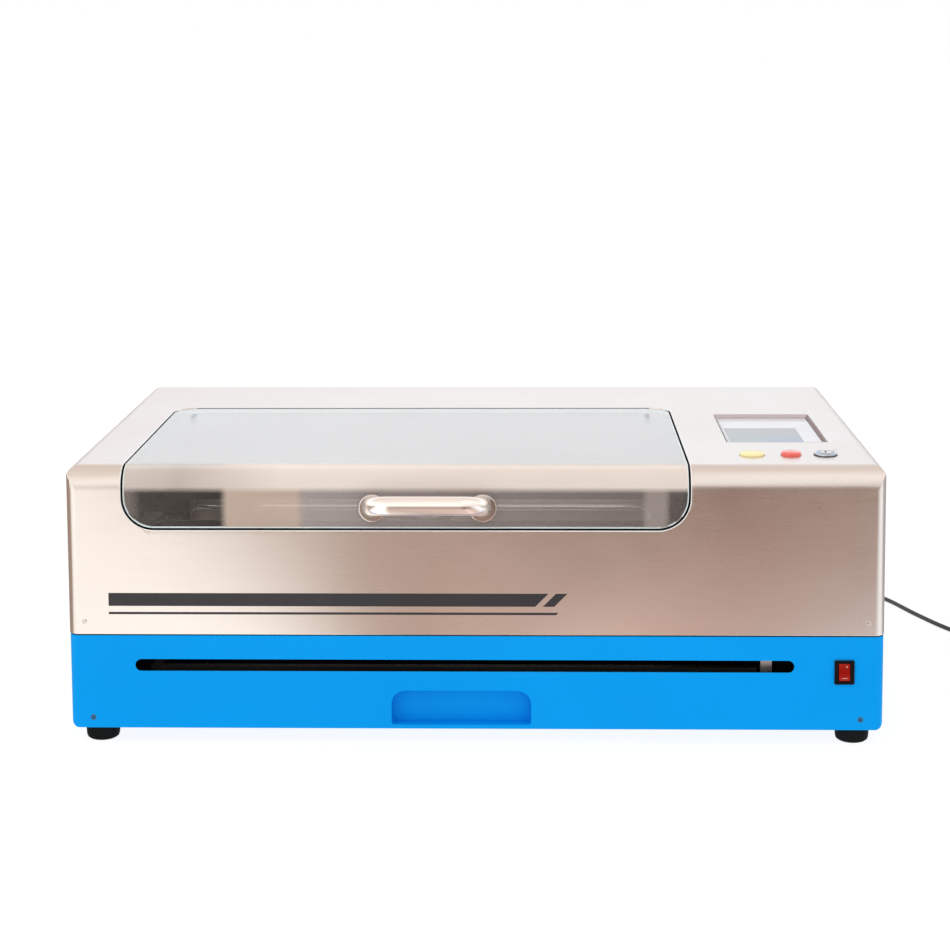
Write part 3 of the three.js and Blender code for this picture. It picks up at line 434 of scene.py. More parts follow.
def sweep(bm, path, section, up=Vector((0, 0, 1)), closed=False):
    """Runs a closed section of (across, up) points along a path, turning it as little as it can."""
    path = [Vector(p) for p in path]
    count = len(path)
    rings = []
    side = None
    for i, here in enumerate(path):
        after = path[(i + 1) % count] if closed or i < count - 1 else here
        before = path[i - 1] if closed or i else here
        along = (after - before).normalized()
        side = along.cross(up) if side is None else side - along * side.dot(along)
        side.normalize()
        lift = side.cross(along)
        rings.append([bm.verts.new(here + side * a + lift * b) for a, b in section])
    size = len(section)
    for i in range(count if closed else count - 1):
        a, b = rings[i], rings[(i + 1) % count]
        for k in range(size):
            bm.faces.new((a[k], a[(k + 1) % size], b[(k + 1) % size], b[k]))
    if not closed:
        bm.faces.new(rings[0])
        bm.faces.new(rings[-1])


def at(x, y, z, turn=0.0, about="X"):
    return Matrix.Translation((x, y, z)) @ Matrix.Rotation(math.radians(turn), 4, about)


def to_mesh(bm, name):
    bmesh.ops.recalc_face_normals(bm, faces=bm.faces)
    bmesh.ops.scale(bm, vec=(MM, MM, MM), verts=bm.verts)
    mesh = bpy.data.meshes.new(name)
    bm.to_mesh(mesh)
    bm.free()
    return mesh


def tool(build):
    """A new object with the solid that build(bm) makes, for cutting with or as a piece."""
    bm = bmesh.new()
    build(bm)
    return new_object("tool", to_mesh(bm, "tool"))


def cutter(axis, outline, low, high):
    """A tool made of an outline run along an axis."""
    return tool(lambda bm: prism(bm, outline, axis, low, high))


def box_cutter(*sides):
    return tool(lambda bm: block(bm, *sides))


def bake(obj):
    """Puts what an object's modifiers make into its mesh."""
    mesh = bpy.data.meshes.new_from_object(obj.evaluated_get(bpy.context.evaluated_depsgraph_get()))
    obj.modifiers.clear()
    obj.data = mesh


def combine(obj, others, operation="DIFFERENCE"):
    for other in others:
        step = obj.modifiers.new("combine", "BOOLEAN")
        step.operation, step.solver, step.object = operation, "EXACT", other
        other.hide_render = True
    bake(obj)
    for other in others:
        bpy.data.objects.remove(other)
    return obj


def edit_mesh(obj, edit):
    bm = bmesh.new()
    bm.from_mesh(obj.data)
    edit(bm)
    bm.to_mesh(obj.data)
    bm.free()
    return obj


def split_faces(bm):
    """Cuts faces of many corners into triangles: a face with a hole needs it before its edges are rounded."""
    bmesh.ops.triangulate(bm, faces=[f for f in bm.faces if len(f.verts) > 4], ngon_method="BEAUTY")


def add_bevel(obj, width, limit, clamp):
    step = obj.modifiers.new("edges", "BEVEL")
    step.width, step.segments, step.limit_method = width * MM, 2, "ANGLE"
    step.angle_limit = math.radians(limit)
    step.use_clamp_overlap = clamp


def dress(obj, name, material, body, slot, replaces=(), angle=35, bevel=0.0, weighted=True, limit=40):
    """Names a mesh object, shades it, gives it its material and hangs it on its body."""
    obj.name = name
    obj.data.name = name
    obj.data.materials.clear()
    for each in material if isinstance(material, list) else [material]:
        obj.data.materials.append(each)
    edit_mesh(obj, split_faces)
    if bevel:
        add_bevel(obj, bevel, limit, clamp=False)
        bake(obj)
    obj.data.shade_smooth()
    obj.data.set_sharp_from_angle(angle=math.radians(angle))
    if weighted:
        step = obj.modifiers.new("normals", "WEIGHTED_NORMAL")
        step.keep_sharp = True
        step.weight = 50
    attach(obj, body)
    if replaces:
        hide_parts(*replaces)
    return obj


def piece(name, build, material, body="chassis", slot=None, **options):
    return dress(tool(build), name, material, body, slot, **options)


def turned(name, profile, place, sides, material, body="chassis", slot=None, **options):
    """A piece turned from one profile of (radius, height)."""
    return piece(name, lambda bm: lathe(bm, profile, place, sides), material, body, slot, **options)


# ---- mains lead: it leaves the connector behind the machine and runs forward on the right ----
CORD_ROUTE = [
    (372, 317.3, 60), (372, 331, 59.2), (373, 346, 53), (376, 358, 41), (382, 367, 26), (391, 373, 13),
    (404, 376, 5.4), (422, 377, 3.1), (446, 374, 3), (472, 366, 3), (496, 353, 3), (515, 337, 3),
    (530, 316, 3), (541, 285, 3), (552, 251, 3), (564, 220, 3), (575, 193, 3), (584, 174, 3),
    (594.5, 155, 3), (603, 141, 3), (607.5, 132.5, 3)]
TAIL_ROUTE = [(674.8, 133, 6.3), (675.1, 142, 7.1), (675.3, 150, 7.9), (675.3, 158.5, 8.3)]
CORD_RADIUS = 2.75
COIL_CENTRE = (642, 112)
PLUG_AT = (675.3, 178.8, 8.3)


def coil_points(per_turn=20):
    """In at the bottom, up the inner layer, over the top and down the outer layer: 7.5 turns."""
    wide, narrow, low, high, end = 32.8, 27.2, 3.0, 22.4, 6.3
    stages = [
        (0.5, wide, narrow, low, low), (3.5, narrow, narrow, low, high), (0.5, narrow, wide, high, high),
        (3.0, wide, wide, high, end)]
    points, turned = [], 0.0
    for turns, r0, r1, z0, z1 in stages:
        steps = round(turns * per_turn)
        for i in range(steps):
            t = i / steps
            ease = t * t * (3 - 2 * t)
            angle = math.pi + (turned + turns * t) * TURN
            radius = r0 + (r1 - r0) * ease
            points.append(
                (
                    COIL_CENTRE[0] + radius * math.cos(angle), COIL_CENTRE[1] + radius * math.sin(angle),
                    z0 + (z1 - z0) * t))
        turned += turns
    points.append((COIL_CENTRE[0] + wide, COIL_CENTRE[1], end))
    return points


def make_cord():
    points = CORD_ROUTE + coil_points() + TAIL_ROUTE
    curve = bpy.data.curves.new("power_lead", "CURVE")
    curve.dimensions = "3D"
    curve.bevel_depth, curve.bevel_resolution = CORD_RADIUS * MM, 5
    curve.use_fill_caps = True
    curve.resolution_u = 6
    spline = curve.splines.new("NURBS")
    spline.points.add(len(points) - 1)
    for spot, place in zip(spline.points, points):
        spot.co = (*(Vector(place) * MM), 1)
    spline.order_u = 4
    spline.use_endpoint_u = True
    curve.materials.append(cord_black)
    lead = new_object("power_lead", curve)
    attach(lead, "chassis")
    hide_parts("power_cord", "cord_coil", "cord_tail")
    return lead


def lead_connector(bm):
    x, z = INLET
    prism(bm, rounded(x - 13, x + 13, z - 9, z + 9, (2, 2, 6, 6)), "Y", REAR + 3.2, REAR + 29)
    prism(bm, rounded(x - 11, x + 11, z - 8, z + 8, (3, 3, 6, 6)), "Y", REAR + 28, REAR + 32)


def relief_profile(base, tip, length, ribs):
    """A tapered strain relief with ribs round it."""
    profile = [(0, 0), (base, 0)]
    for i in range(ribs):
        start, end = (i + 0.25) / ribs, (i + 0.6) / ribs
        for t, depth in ((start, 0), (start + 0.02, 0.9), (end, 0.9), (end + 0.02, 0)):
            profile.append((base + (tip - base) * t - depth * (1 - t * 0.4), length * t))
    return profile + [(tip, length), (0, length)]


def lead_relief(bm):
    lathe(bm, relief_profile(6.5, 3.8, 26, 6), at(INLET[0], REAR + 31, INLET[1], -90), 32)


def plug_body(bm):
    x, y, z = PLUG_AT
    prism(bm, rounded(x - 12, x + 12, z - 8, z + 8, (4, 4, 4, 4)), "Y", y, y + 30)
    prism(bm, rounded(x - 11, x + 11, z - 7, z + 7, (3, 3, 3, 3)), "Y", y + 29, y + 34)


def plug_relief(bm):
    x, y, z = PLUG_AT
    lathe(bm, relief_profile(6.5, 3.8, 20, 5), at(x, y + 0.2, z, 90), 32)


def plug_pins(bm):
    x, y, z = PLUG_AT
    for dx in (-6.3, 6.3):
        prism(bm, rounded(x + dx - 0.8, x + dx + 0.8, z - 3.2, z + 3.2, (0.3,) * 4, 2), "Y", y + 33, y + 50)
    lathe(bm, [(0, 0), (2.4, 0), (2.4, 16.6), (1.6, 18), (0, 18)], at(x, y + 33, z - 4.5, -90), 24)


def coil_tie(bm):
    """A hook-and-loop strap round the coil's section, with its end lapped over on the outside."""
    angle = math.radians(118)
    across = Vector((math.cos(angle), math.sin(angle), 0))
    middle = Vector((*COIL_CENTRE, 0))
    loop = [
        middle + across * r + Vector((0, 0, z)) for r, z in rounded(24.0, 36.0, 0.35, 25.6, (3,) * 4, 6)]
    half = 5.0
    section = [(-0.3, -half), (0.3, -half), (0.3, half), (-0.3, half)]
    along = Vector((-across.y, across.x, 0))
    sweep(bm, loop, section, up=along, closed=True)
    end = middle + across * 36.3
    lap = [end + Vector((0, 0, z)) + across * r for z, r in ((6, 0.2), (10, 0.35), (16, 0.35), (20, 0.8))]
    sweep(
        bm, lap, [(-0.3, -half + 0.6), (0.3, -half + 0.6), (0.3, half - 0.6), (-0.3, half - 0.6)], up=along)


lead = make_cord()
piece(
    "lead_connector", lead_connector, cord_black, slot="cord_black", replaces=["cord_connector"], bevel=0.8)
piece("lead_strain_relief", lead_relief, cord_black, slot="cord_black")
plug = piece("mains_plug", plug_body, cord_black, slot="cord_black", replaces=["power_plug"], bevel=0.9)
relief = piece("mains_plug_strain_relief", plug_relief, cord_black, slot="cord_black")
pins = piece("mains_plug_pins", plug_pins, brass, slot="brass")
tie = piece("lead_tie", coil_tie, belt_rubber, slot="belt_rubber")

# ---- housing ----
def soften(radius, inset):
    return max(radius - inset, 0.5)


def meet(outlines):
    """The solid that several outlines, each run along its own axis, have in common."""
    first, *rest = [cutter(axis, outline, low, high) for outline, axis, low, high in outlines]
    return combine(first, rest, "INTERSECT")


def cover_form(inset, floor):
    front, rear, side, top = FRONT + inset, REAR - inset, SIDE - inset, TOP - inset
    end = rounded(front, rear, floor, top, (0, 0, soften(4, inset), soften(COVER_BEND, inset)), 14)
    plan = rounded(-side, side, front, rear, (soften(11, inset),) * 2 + (soften(4, inset),) * 2, 10)
    face = rounded(-side, side, floor, top, (0, 0, soften(13, inset), soften(13, inset)), 10)
    return meet(
        [
            (end, "X", -side - 1, side + 1), (plan, "Z", floor - 1, top + 1),
            (face, "Y", front - 1, rear + 1)])


def wrap(left, right, rear, bottom, outside, inside, rear_radius, front_radius, steps=14):
    """A plate over the top, round the bend and down the front, between two depths about the skin."""
    bend_y, bend_z = FRONT + COVER_BEND, TOP - COVER_BEND
    profile = [(rear, TOP + outside)] + arc(bend_y, bend_z, COVER_BEND + outside, 90, 180, steps)
    profile += [(FRONT - outside, bottom), (FRONT + inside, bottom)]
    profile += arc(bend_y, bend_z, COVER_BEND - inside, 180, 90, steps) + [(rear, TOP - inside)]
    plate = cutter("X", profile, left, right)
    wastes = []
    for edge, sign in ((left, 1), (right, -1)):
        for v, toward, radius, axis, low, high in (
            (rear, -1, rear_radius, "Z", TOP - inside - 1, TOP + outside + 1),
            (bottom, 1, front_radius, "Y", FRONT - outside - 1, FRONT + inside + 1),
        ):
            outline = [(edge - sign, v - toward), (edge + sign * radius, v - toward)]
            for i in range(13):
                a = i / 12 * QUARTER
                outline.append(
                    (edge + sign * radius * (1 - math.sin(a)), v + toward * radius * (1 - math.cos(a))))
            outline.append((edge - sign, v + toward * radius))
            wastes.append(cutter(axis, outline, low, high))
    return combine(plate, wastes)


def vents(wall, spots, low, high, half=1.6):
    """A cutter for upright ventilation slots through a side wall, at the spots along it."""
    def build(bm):
        for y in spots:
            prism(bm, rounded(y - half, y + half, low, high, (half,) * 4, 5), "X", wall - 6, wall + 6)
    return tool(build)


def upper_cover():
    opening = wrap(
        LID["left"] - LID_GAP, LID["right"] + LID_GAP, LID["rear"] + REAR_GAP, LID["bottom"] - LID_GAP, 4,
        8, LID["rear_radius"] + 2, LID["front_radius"] + LID_GAP)
    s = SCREEN
    buttons = ((YELLOW[0], YELLOW[1] + 0.5), (RED[0], RED[1] + 0.5), (KEY[0], KEY[1] - 2))
    holes = [
        box_cutter(s["left"], s["right"], s["front"], s["rear"], TOP - 10, TOP + 1),
        tool(lambda bm: [prism(bm, circle(x, BUTTON_Y, r), "Z", TOP - 10, TOP + 1) for x, r in buttons]),
        cutter("Y", circle(EXHAUST["x"], EXHAUST["z"], EXHAUST["radius"] - 7, 64), REAR - 10, REAR + 1),
        vents(SIDE, range(-66, 100, VENT_PITCH), 150, 186),
        vents(-SIDE, range(130, 235, VENT_PITCH), 200, 236)]
    return combine(cover_form(0, SEAM), [cover_form(SHEET, SEAM - 2), opening, *holes])


def cross_cut(obj, cuts):
    """Divides the faces along planes, so that no face has a hole in it or a very thin corner."""
    def divide(bm):
        for axis, place in cuts:
            normal = {"X": X, "Y": Y, "Z": Z}[axis]
            everything = bm.verts[:] + bm.edges[:] + bm.faces[:]
            bmesh.ops.bisect_plane(
                bm, geom=everything, plane_co=normal * place * MM, plane_no=normal, dist=1e-6)
    return edit_mesh(obj, divide)


def cover_shell():
    middle, behind = (SCREEN["left"] + SCREEN["right"]) / 2, (SCREEN["front"] + SCREEN["rear"]) / 2
    left, right, rear = LID["left"] - LID_GAP, LID["right"] + LID_GAP, LID["rear"] + REAR_GAP
    cuts = [
        ("X", x)
        for x in (left + 30, EXHAUST["x"], right - 30, right + 6, YELLOW[0], middle, KEY[0], KEY[0] + 20)]
    cuts += [("Y", y) for y in (BUTTON_Y - 20, BUTTON_Y, SCREEN["front"] - 20, behind, rear - 30, rear + 6)]
    cuts += [("Z", z) for z in (EXHAUST["z"], LID["bottom"] - LID_GAP - 6, LID["bottom"] + 40)]
    shell = dress(cross_cut(upper_cover(), cuts), "cover_shell", [steel, opening_painted_highlight], "chassis", "stainless",
                  ["upper_cover"], bevel=0.95, limit=50)
    for face in shell.data.polygons:
        x, y, z = face.center / MM
        by_lid = LID["left"] - 6 < x < LID["right"] + 6 and z > LID["bottom"] - 6 and y < LID["rear"] - 2
        slanted = 0.2 < face.normal.dot(skin_normal(y, z)) < 0.97
        # the slanted faces round the lid opening take the painted highlight colour
        if by_lid and slanted and (y < FRONT + 1.2 or z > TOP - COVER_BEND):
            face.material_index = 1


def skin_normal(y, z):
    """Which way the housing's outside faces at a place on its top, bend or front."""
    bend_y, bend_z = FRONT + COVER_BEND, TOP - COVER_BEND
    if y > bend_y:
        return Vector((0, 0, 1))
    if z < bend_z:
        return Vector((0, -1, 0))
    return Vector((0, y - bend_y, z - bend_z)).normalized()


cover_shell()


def base_form(inset):
    top = SEAM + 1 if inset > BASE_INSET else SEAM - 1.2
    front, rear, side = FRONT + inset, REAR - inset, SIDE - inset
    floor = 16 + inset - BASE_INSET
    plan = rounded(-side, side, front, rear, (soften(11, inset),) * 2 + (soften(4, inset),) * 2, 10)
    face = rounded(-side, side, floor, top, (soften(9, inset), soften(9, inset), 0, 0), 8)
    return meet([(plan, "Z", floor - 1, top + 1), (face, "Y", front - 1, rear + 1)])


def grip_tool(grow, y0, y1):
    c = GRIP["corner"] + grow
    outline = rounded(GRIP["left"] - grow, GRIP["right"] + grow, GRIP["low"] - grow, GRIP["high"] + grow,
                      (3 + grow, 3 + grow, c, c), 10)
    return cutter("Y", outline, y0, y1)


def base_shell():
    face = FRONT + BASE_INSET
    shell = combine(base_form(BASE_INSET), [base_form(BASE_INSET + SHEET)])
    combine(shell, [grip_tool(SHEET, face + 0.5, face + GRIP["depth"] + SHEET)], "UNION")
    half = (SLOT[3] - SLOT[2]) / 2
    slot = rounded(*SLOT, (half - 0.01,) * 4, 10)
    x, z = INLET
    inlet = rounded(x - 13.5, x + 13.5, z - 10, z + 10, (2, 2, 6, 6), 5)
    w, h = SWITCH["width"] / 2 - 0.9, SWITCH["height"] / 2 - 0.9
    return combine(
        shell,
        [
            grip_tool(0, face - 5, face + GRIP["depth"]), cutter("Y", slot, FRONT - 5, REAR + 5),
            cutter("Y", inlet, REAR - 5, REAR + 5),
            box_cutter(
                SWITCH["x"] - w, SWITCH["x"] + w, FRONT - 5, FRONT + 10, SWITCH["z"] - h, SWITCH["z"] + h),
            vents(SIDE, range(-120, 110, VENT_PITCH), 50, 84)])


def base_pan():
    grip_middle = (GRIP["left"] + GRIP["right"]) / 2
    slot_middle = (SLOT[2] + SLOT[3]) / 2
    # the other planes pass between the openings, and beside the screws
    cuts = [("X", x) for x in (-385, -333, -180, grip_middle, 150, 309, 356, SWITCH["x"])]
    pan = cross_cut(base_shell(), [*cuts, ("Z", slot_middle), ("Z", 66.3), ("Y", 40.2)])
    dress(
        pan, "base_pan", [blue_paint, base_inside_painted_shade], "chassis", "blue_paint", ["base_shell"], bevel=0.4,
        limit=50)
    for face in pan.data.polygons:
        x, y, z = face.center / MM
        outside = abs(x) > SIDE - 1.4 or y < FRONT + 1.4 or y > REAR - 1.4 or z < 17.4 or z > SEAM - 2
        by_corner = abs(x) > SIDE - 13 or y < FRONT + 13 or y > REAR - 13 or z < 29
        outside = outside or (by_corner and face.normal.dot(Vector((x, y, 4 * (z - 70)))) > 0)
        # faces inside the base take the near-black painted shade
        if not outside and not (
                GRIP["left"] - 1 < x < GRIP["right"] + 1 and y < FRONT + 17 and z < GRIP["high"] + 1):
            face.material_index = 1


base_pan()


def foot(bm, x, y):
    profile = [
        (0, 0.6), (6, 0.6), (7, 0), (14.0, 0), (14.9, 0.4), (16.8, 1.9), (17.6, 4.5), (18.25, 14.9),
        (17.9, 15.6), (0, 15.7)]
    lathe(bm, profile, at(x, y, 0), 48)


for row, y in (("front", -239), ("rear", 232)):
    for side, x in (("left", -401), ("right", 401)):
        piece(
            f"foot_{row}_{side}_rubber", lambda bm, x=x, y=y: foot(bm, x, y), foot_rubber,
            slot="foot_rubber", replaces=[f"foot_{row}_{side}"])


def screw(name, place, radius, material, body="chassis", proud=0.0, head=1.2):
    """A cross-head screw whose axis is Z in its own frame, with its face at `proud`."""
    profile = [(0, -head), (radius * 0.6, -head), (radius, proud - 0.35), (radius * 0.86, proud - 0.08),
               (radius * 0.5, proud), (0, proud)]
    obj = tool(lambda bm: lathe(bm, profile, segments=28))
    w, arm = radius * 0.13, radius * 0.62
    floor, above = proud - radius * 0.4, proud + 1
    combine(obj, [box_cutter(-arm, arm, -w, w, floor, above), box_cutter(-w, w, -arm, arm, floor, above)])
    shift = Matrix.Scale(MM, 4) @ place @ Matrix.Scale(1 / MM, 4)
    obj.data.transform(shift)
    return dress(obj, name, material, body, None, weighted=False)


def facing(x, y, z, direction, spin=0.0):
    """A frame at a point whose Z looks along a direction."""
    aim = Vector(direction).to_track_quat("Z", "Y").to_matrix().to_4x4()
    return Matrix.Translation((x, y, z)) @ aim @ Matrix.Rotation(math.radians(spin), 4, "Z")


def housing_screw(name, x, y, z, direction, proud):
    """Steel on the cover and blackened on the base, with its cross turned at random."""
    radius, material = (2.6, screw_steel) if name.startswith("cover") else (3.0, screw_dark)
    screw(name, facing(x, y, z, direction, random.uniform(0, 90)), radius, material, proud=proud)


COVER_SCREW_Z, COVER_SCREW_HIGH_Z, BASE_SCREW_Z, BASE_SCREW_SIDE_Z = 132, 276, 27.5, 36
COVER_SCREW_X, BASE_SCREW_X = 414, 407
AHEAD, BEHIND = (0, -1, 0), (0, 1, 0)
random.seed(7)
for i, sign in enumerate((-1, 1)):
    x, low_x = sign * COVER_SCREW_X, sign * BASE_SCREW_X
    housing_screw(f"cover_screw_front_{i}", x, FRONT, COVER_SCREW_Z, AHEAD, 0.5)
    housing_screw(f"base_screw_front_{i}", low_x, FRONT + BASE_INSET, BASE_SCREW_Z, AHEAD, 0.6)
    housing_screw(f"cover_screw_rear_{i}", x, REAR, COVER_SCREW_Z, BEHIND, 0.5)
    housing_screw(f"cover_screw_rear_high_{i}", x, REAR, COVER_SCREW_HIGH_Z, BEHIND, 0.5)
    housing_screw(f"base_screw_rear_{i}", low_x, REAR - BASE_INSET, BASE_SCREW_Z, BEHIND, 0.6)
for side, sign in (("left", -1), ("right", 1)):
    for k, y in enumerate((-235, 0, 235)):
        x = sign * SIDE
        housing_screw(f"cover_screw_{side}_{k}", x, y, COVER_SCREW_Z, (sign, 0, 0), 0.0)
        housing_screw(
            f"base_screw_{side}_{k}", x - sign * BASE_INSET, y, BASE_SCREW_SIDE_Z, (sign, 0, 0), 0.2)


def stripes(bm):
    """The plain graphic low on the front: a bar with a slanted end, and a pinstripe under it."""
    y0, y1 = FRONT - 0.12, FRONT + 0.05
    left, low, high = -388, 149, 163
    for outline in ([(left, low), (64, low), (78, high), (left, high)],
                    [(left, 140), (86, 140), (88.5, 142.5), (left, 142.5)],
                    [(72, low), (84, low), (98, high), (86, high)]):
        prism(bm, outline, "Y", y0, y1)


piece("front_stripes", stripes, graphite, slot="black_plastic", weighted=False)


# ---- lid ----
def lid_sheet():
    sheet = wrap(LID["left"], LID["right"], LID["rear"], LID["bottom"], 0, LID["thick"], LID["rear_radius"],
                 LID["front_radius"], 16)
    dress(
        sheet, "lid_sheet", [clear_lid, lid_rim_frost_and_highlight], "lid", "clear_acrylic", ["lid_panel"], bevel=0.9,
        limit=50)
    # the lid's edge faces take the frost and painted highlight colour
    for face in sheet.data.polygons:
        middle = face.center / MM
        if abs(face.normal.dot(skin_normal(middle.y, middle.z))) < 0.93:
            face.material_index = 1


lid_sheet()


def lid_seal():
    edge, depth = 7, LID["thick"] + FIT
    ring = wrap(
        LID["left"] - LID_GAP - edge, LID["right"] + LID_GAP + edge, 72, LID["bottom"] - LID_GAP - edge,
        -depth, depth + 3, 1, LID["front_radius"] + LID_GAP + edge)
    middle = wrap(
        LID["left"] + edge, LID["right"] - edge, LID["rear"], LID["bottom"] + edge, 0, depth + 6, 1,
        LID["front_radius"] - edge)
    dress(
        combine(ring, [middle]), "lid_seal_ring", seal_rubber, "chassis", "seal_rubber", ["lid_seal"],
        bevel=0.7, limit=50)


lid_seal()


def rear_trim(bm):
    block(bm, LID["left"] + 22, LID["right"] - 22, LID["rear"] + 2.3, LID["rear"] + 4.9, TOP - 5, TOP - 0.25)


piece("opening_rear_trim", rear_trim, seal_rubber, slot="seal_rubber", bevel=0.3)


def bow_handle():
    half, bend, radius = HANDLE["spacing"] / 2, HANDLE["bend"], HANDLE["radius"]
    reach = math.hypot(HANDLE["rise"], HANDLE["reach"])
    tilt = math.atan2(HANDLE["rise"], HANDLE["reach"])
    flat = [(-half, 6), (-half, bend - reach)] + arc(-half + bend, bend - reach, bend, 180, 270, 16)[1:]
    flat += arc(half - bend, bend - reach, bend, 270, 360, 16) + [(half, 6)]
    turn = Matrix.Rotation(-tilt, 3, "X")
    path = [turn @ Vector((x, y, 0)) + Vector((HANDLE["x"], FRONT - FIT, HANDLE["z"])) for x, y in flat]
    bar = tool(lambda bm: sweep(bm, path, circle(0, 0, radius, 40), up=turn @ Vector((0, 0, 1))))
    wall = FRONT - FIT - 2.7 - FIT
    combine(bar, [box_cutter(-300, 200, wall, wall + 60, 180, 330)])
    dress(bar, "lid_bow_handle", handle_steel, "lid", "handle_steel", ["lid_handle"], angle=50)


bow_handle()
for side, sign in (("left", -1), ("right", 1)):
    x = HANDLE["x"] + sign * HANDLE["spacing"] / 2
    profile = [(0, 0), (15, 0), (15, 1.5), (14.6, 2.2), (13.8, 2.62), (12.8, 2.7), (0, 2.7)]
    turned(
        f"handle_plate_{side}", profile, at(x, FRONT - FIT, HANDLE["z"], 90), 64, rosette_steel, "lid",
        "handle_steel", replaces=[f"handle_rosette_{side}"])
    screw(
        f"handle_nut_{side}", facing(x, FRONT + LID["thick"] + 1.6, HANDLE["z"], BEHIND), 6.5, screw_steel,
        "lid", proud=0.8, head=1.4)
    hinge_x = LID["left"] + 27 if sign < 0 else LID["right"] - 27
    for k, y in enumerate((38, 54)):
        screw(
            f"hinge_screw_{side}_{k}", facing(hinge_x, y, TOP + 0.02, (0, 0, 1), 20 * k), 4.2, screw_dark,
            "lid", proud=0.0, head=2.0)


# ---- controls ----
def screen_bezel(bm):
    """The dished surround: an upright outer wall, a narrow flat lip and four sloping sides."""
    s, grow = SCREEN, SCREEN["bevel"] + 1
    low, foot_z, lip = TOP - s["depth"] - 5, TOP - s["depth"], 0.9
    def ring(inset, z):
        x0, x1, y0, y1 = s["left"] + inset, s["right"] - inset, s["front"] + inset, s["rear"] - inset
        return [bm.verts.new(p) for p in ((x0, y0, z), (x1, y0, z), (x1, y1, z), (x0, y1, z))]
    rings = [
        ring(FIT, low), ring(FIT, TOP - 0.2), ring(FIT + 0.2, TOP), ring(lip, TOP), ring(grow, foot_z),
        ring(grow, low)]
    for a, b in zip(rings, rings[1:] + rings[:1]):
        for i in range(4):
            bm.faces.new((a[i], a[(i + 1) % 4], b[(i + 1) % 4], b[i]))


# the surround's steel is darker and more lilac than the cover's: a painted reflection
screen_rim_painted_reflection = brushed("screen_surround", (0.5, 0.45, 0.46), 0.22, tint=0.05, marks=False)
piece(
    "screen_surround", screen_bezel, screen_rim_painted_reflection, slot="stainless", replaces=["screen_frame"], angle=20,
    weighted=False)


def display_glass():
    """The display's cover: pale glass round a window with a painted reflection that turns bluer towards its
    lower right corner.
    """
    look = Look("display_glass")
    split = look.add("ShaderNodeSeparateXYZ")
    look.link(look.place, split.inputs[0])
    inside = []
    for output, low, high in (("X", 0.283, 0.366), ("Y", -0.1, -0.012)):
        inside += [look.span(split.outputs[output], 0, 1, low - 0.0004, low + 0.0004),
                   look.span(split.outputs[output], 1, 0, high - 0.0004, high + 0.0004)]
    total = inside[0]
    for each in inside[1:]:
        total = look.math("MULTIPLY", total, each)
    # painted reflection in the window: bluer towards the lower right, greyer towards the rear
    painted_blue_reflection = look.mix(
        look.span(split.outputs["X"], 0, 1, 0.29, 0.366), (0.34, 0.385, 0.395), (0.25, 0.325, 0.46))
    window_painted_reflection = look.mix(look.span(split.outputs["Y"], 0, 1, -0.1, -0.03), painted_blue_reflection, (0.345, 0.34, 0.335))
    glass = look.ramp(look.noise(30, 4), (0.35, (0.68, 0.665, 0.68)), (0.65, (0.71, 0.695, 0.71)))
    look.color(look.mix(total, glass, window_painted_reflection))
    look.rough(look.span(look.noise(22, 6, 0.7), 0.1, 0.2))
    look.bump(look.noise(600, 2), 0.00001)
    look.settings(Specular_IOR_Level=0.2)
    return look.material


def display_panel(bm):
    s, inner, low = SCREEN, SCREEN["bevel"] + 1 + FIT, TOP - SCREEN["depth"] - 5
    block(bm, s["left"] + inner, s["right"] - inner, s["front"] + inner, s["rear"] - inner, low, low + 4.4)


piece(
    "display_panel", display_panel, display_glass(), slot="screen_glass", replaces=["screen_panel"],
    bevel=0.3)


def push_button(bm, x, radius, proud):
    edge = [
        (radius, -0.2), (radius, proud * 0.3), (radius * 0.985, proud * 0.5), (radius * 0.95, proud * 0.68),
        (radius * 0.88, proud * 0.8), (radius * 0.7, proud * 0.9), (radius * 0.4, proud * 0.97), (0, proud)]
    lathe(
        bm, [(0, -22), (radius - 4, -22), (radius - 4, -8), (radius, -8), *edge], at(x, BUTTON_Y, TOP), 64)


piece(
    "button_yellow_cap", lambda bm: push_button(bm, *YELLOW), yellow_plastic, "yellow_button",
    "yellow_plastic", replaces=["yellow_button"], angle=50)
piece(
    "button_red_cap", lambda bm: push_button(bm, *RED), red_plastic, "red_button", "red_plastic",
    replaces=["red_button"], angle=50)


KEY_BARREL = 6.6


def key_body(bm):
    x, radius, proud = KEY
    profile = [(0, -24), (radius - 2.4, -24), (radius - 2.4, FIT), (radius, FIT), (radius, proud * 0.45),
               (radius - 0.5, proud * 0.8), (radius - 1.6, proud)]
    # a groove runs round the barrel, which stands in its hole
    groove = [(2.6, 0), (2.3, -0.5), (1.6, -0.5), (1.3, 0), (0.4, 0)]
    profile += [(KEY_BARREL + r, proud + z) for r, z in groove] + [(KEY_BARREL + 0.4, -18), (0, -18)]
    lathe(bm, profile, at(x, BUTTON_Y, TOP), 64)


def key_plug():
    x, _, proud = KEY
    top = proud + 0.4
    r = KEY_BARREL
    profile = [(0, -17), (r, -17), (r, top - 0.4), (r - 0.4, top), (0, top)]
    barrel = tool(lambda bm: lathe(bm, profile, at(x, BUTTON_Y, TOP), 48))
    return combine(barrel, [box_cutter(x - 1, x + 1, BUTTON_Y - 4, BUTTON_Y + 4, TOP - 8, TOP + top + 1)])


piece("key_switch_ring", key_body, key_chrome, slot="chrome", replaces=["key_switch_body"])
gasket = [(-2.2, 0.02), (0.7, 0.02), (0.7, 0.5), (0.1, 0.8), (0.05, 0.28), (-2.2, 0.28), (-2.2, 0.02)]
turned(
    "key_switch_gasket", [(KEY[1] + r, z) for r, z in gasket], at(KEY[0], BUTTON_Y, TOP), 64, seal_rubber,
    slot="seal_rubber")
dress(key_plug(), "key_switch_plug", screw_steel, "key", "chrome", ["key_barrel"])


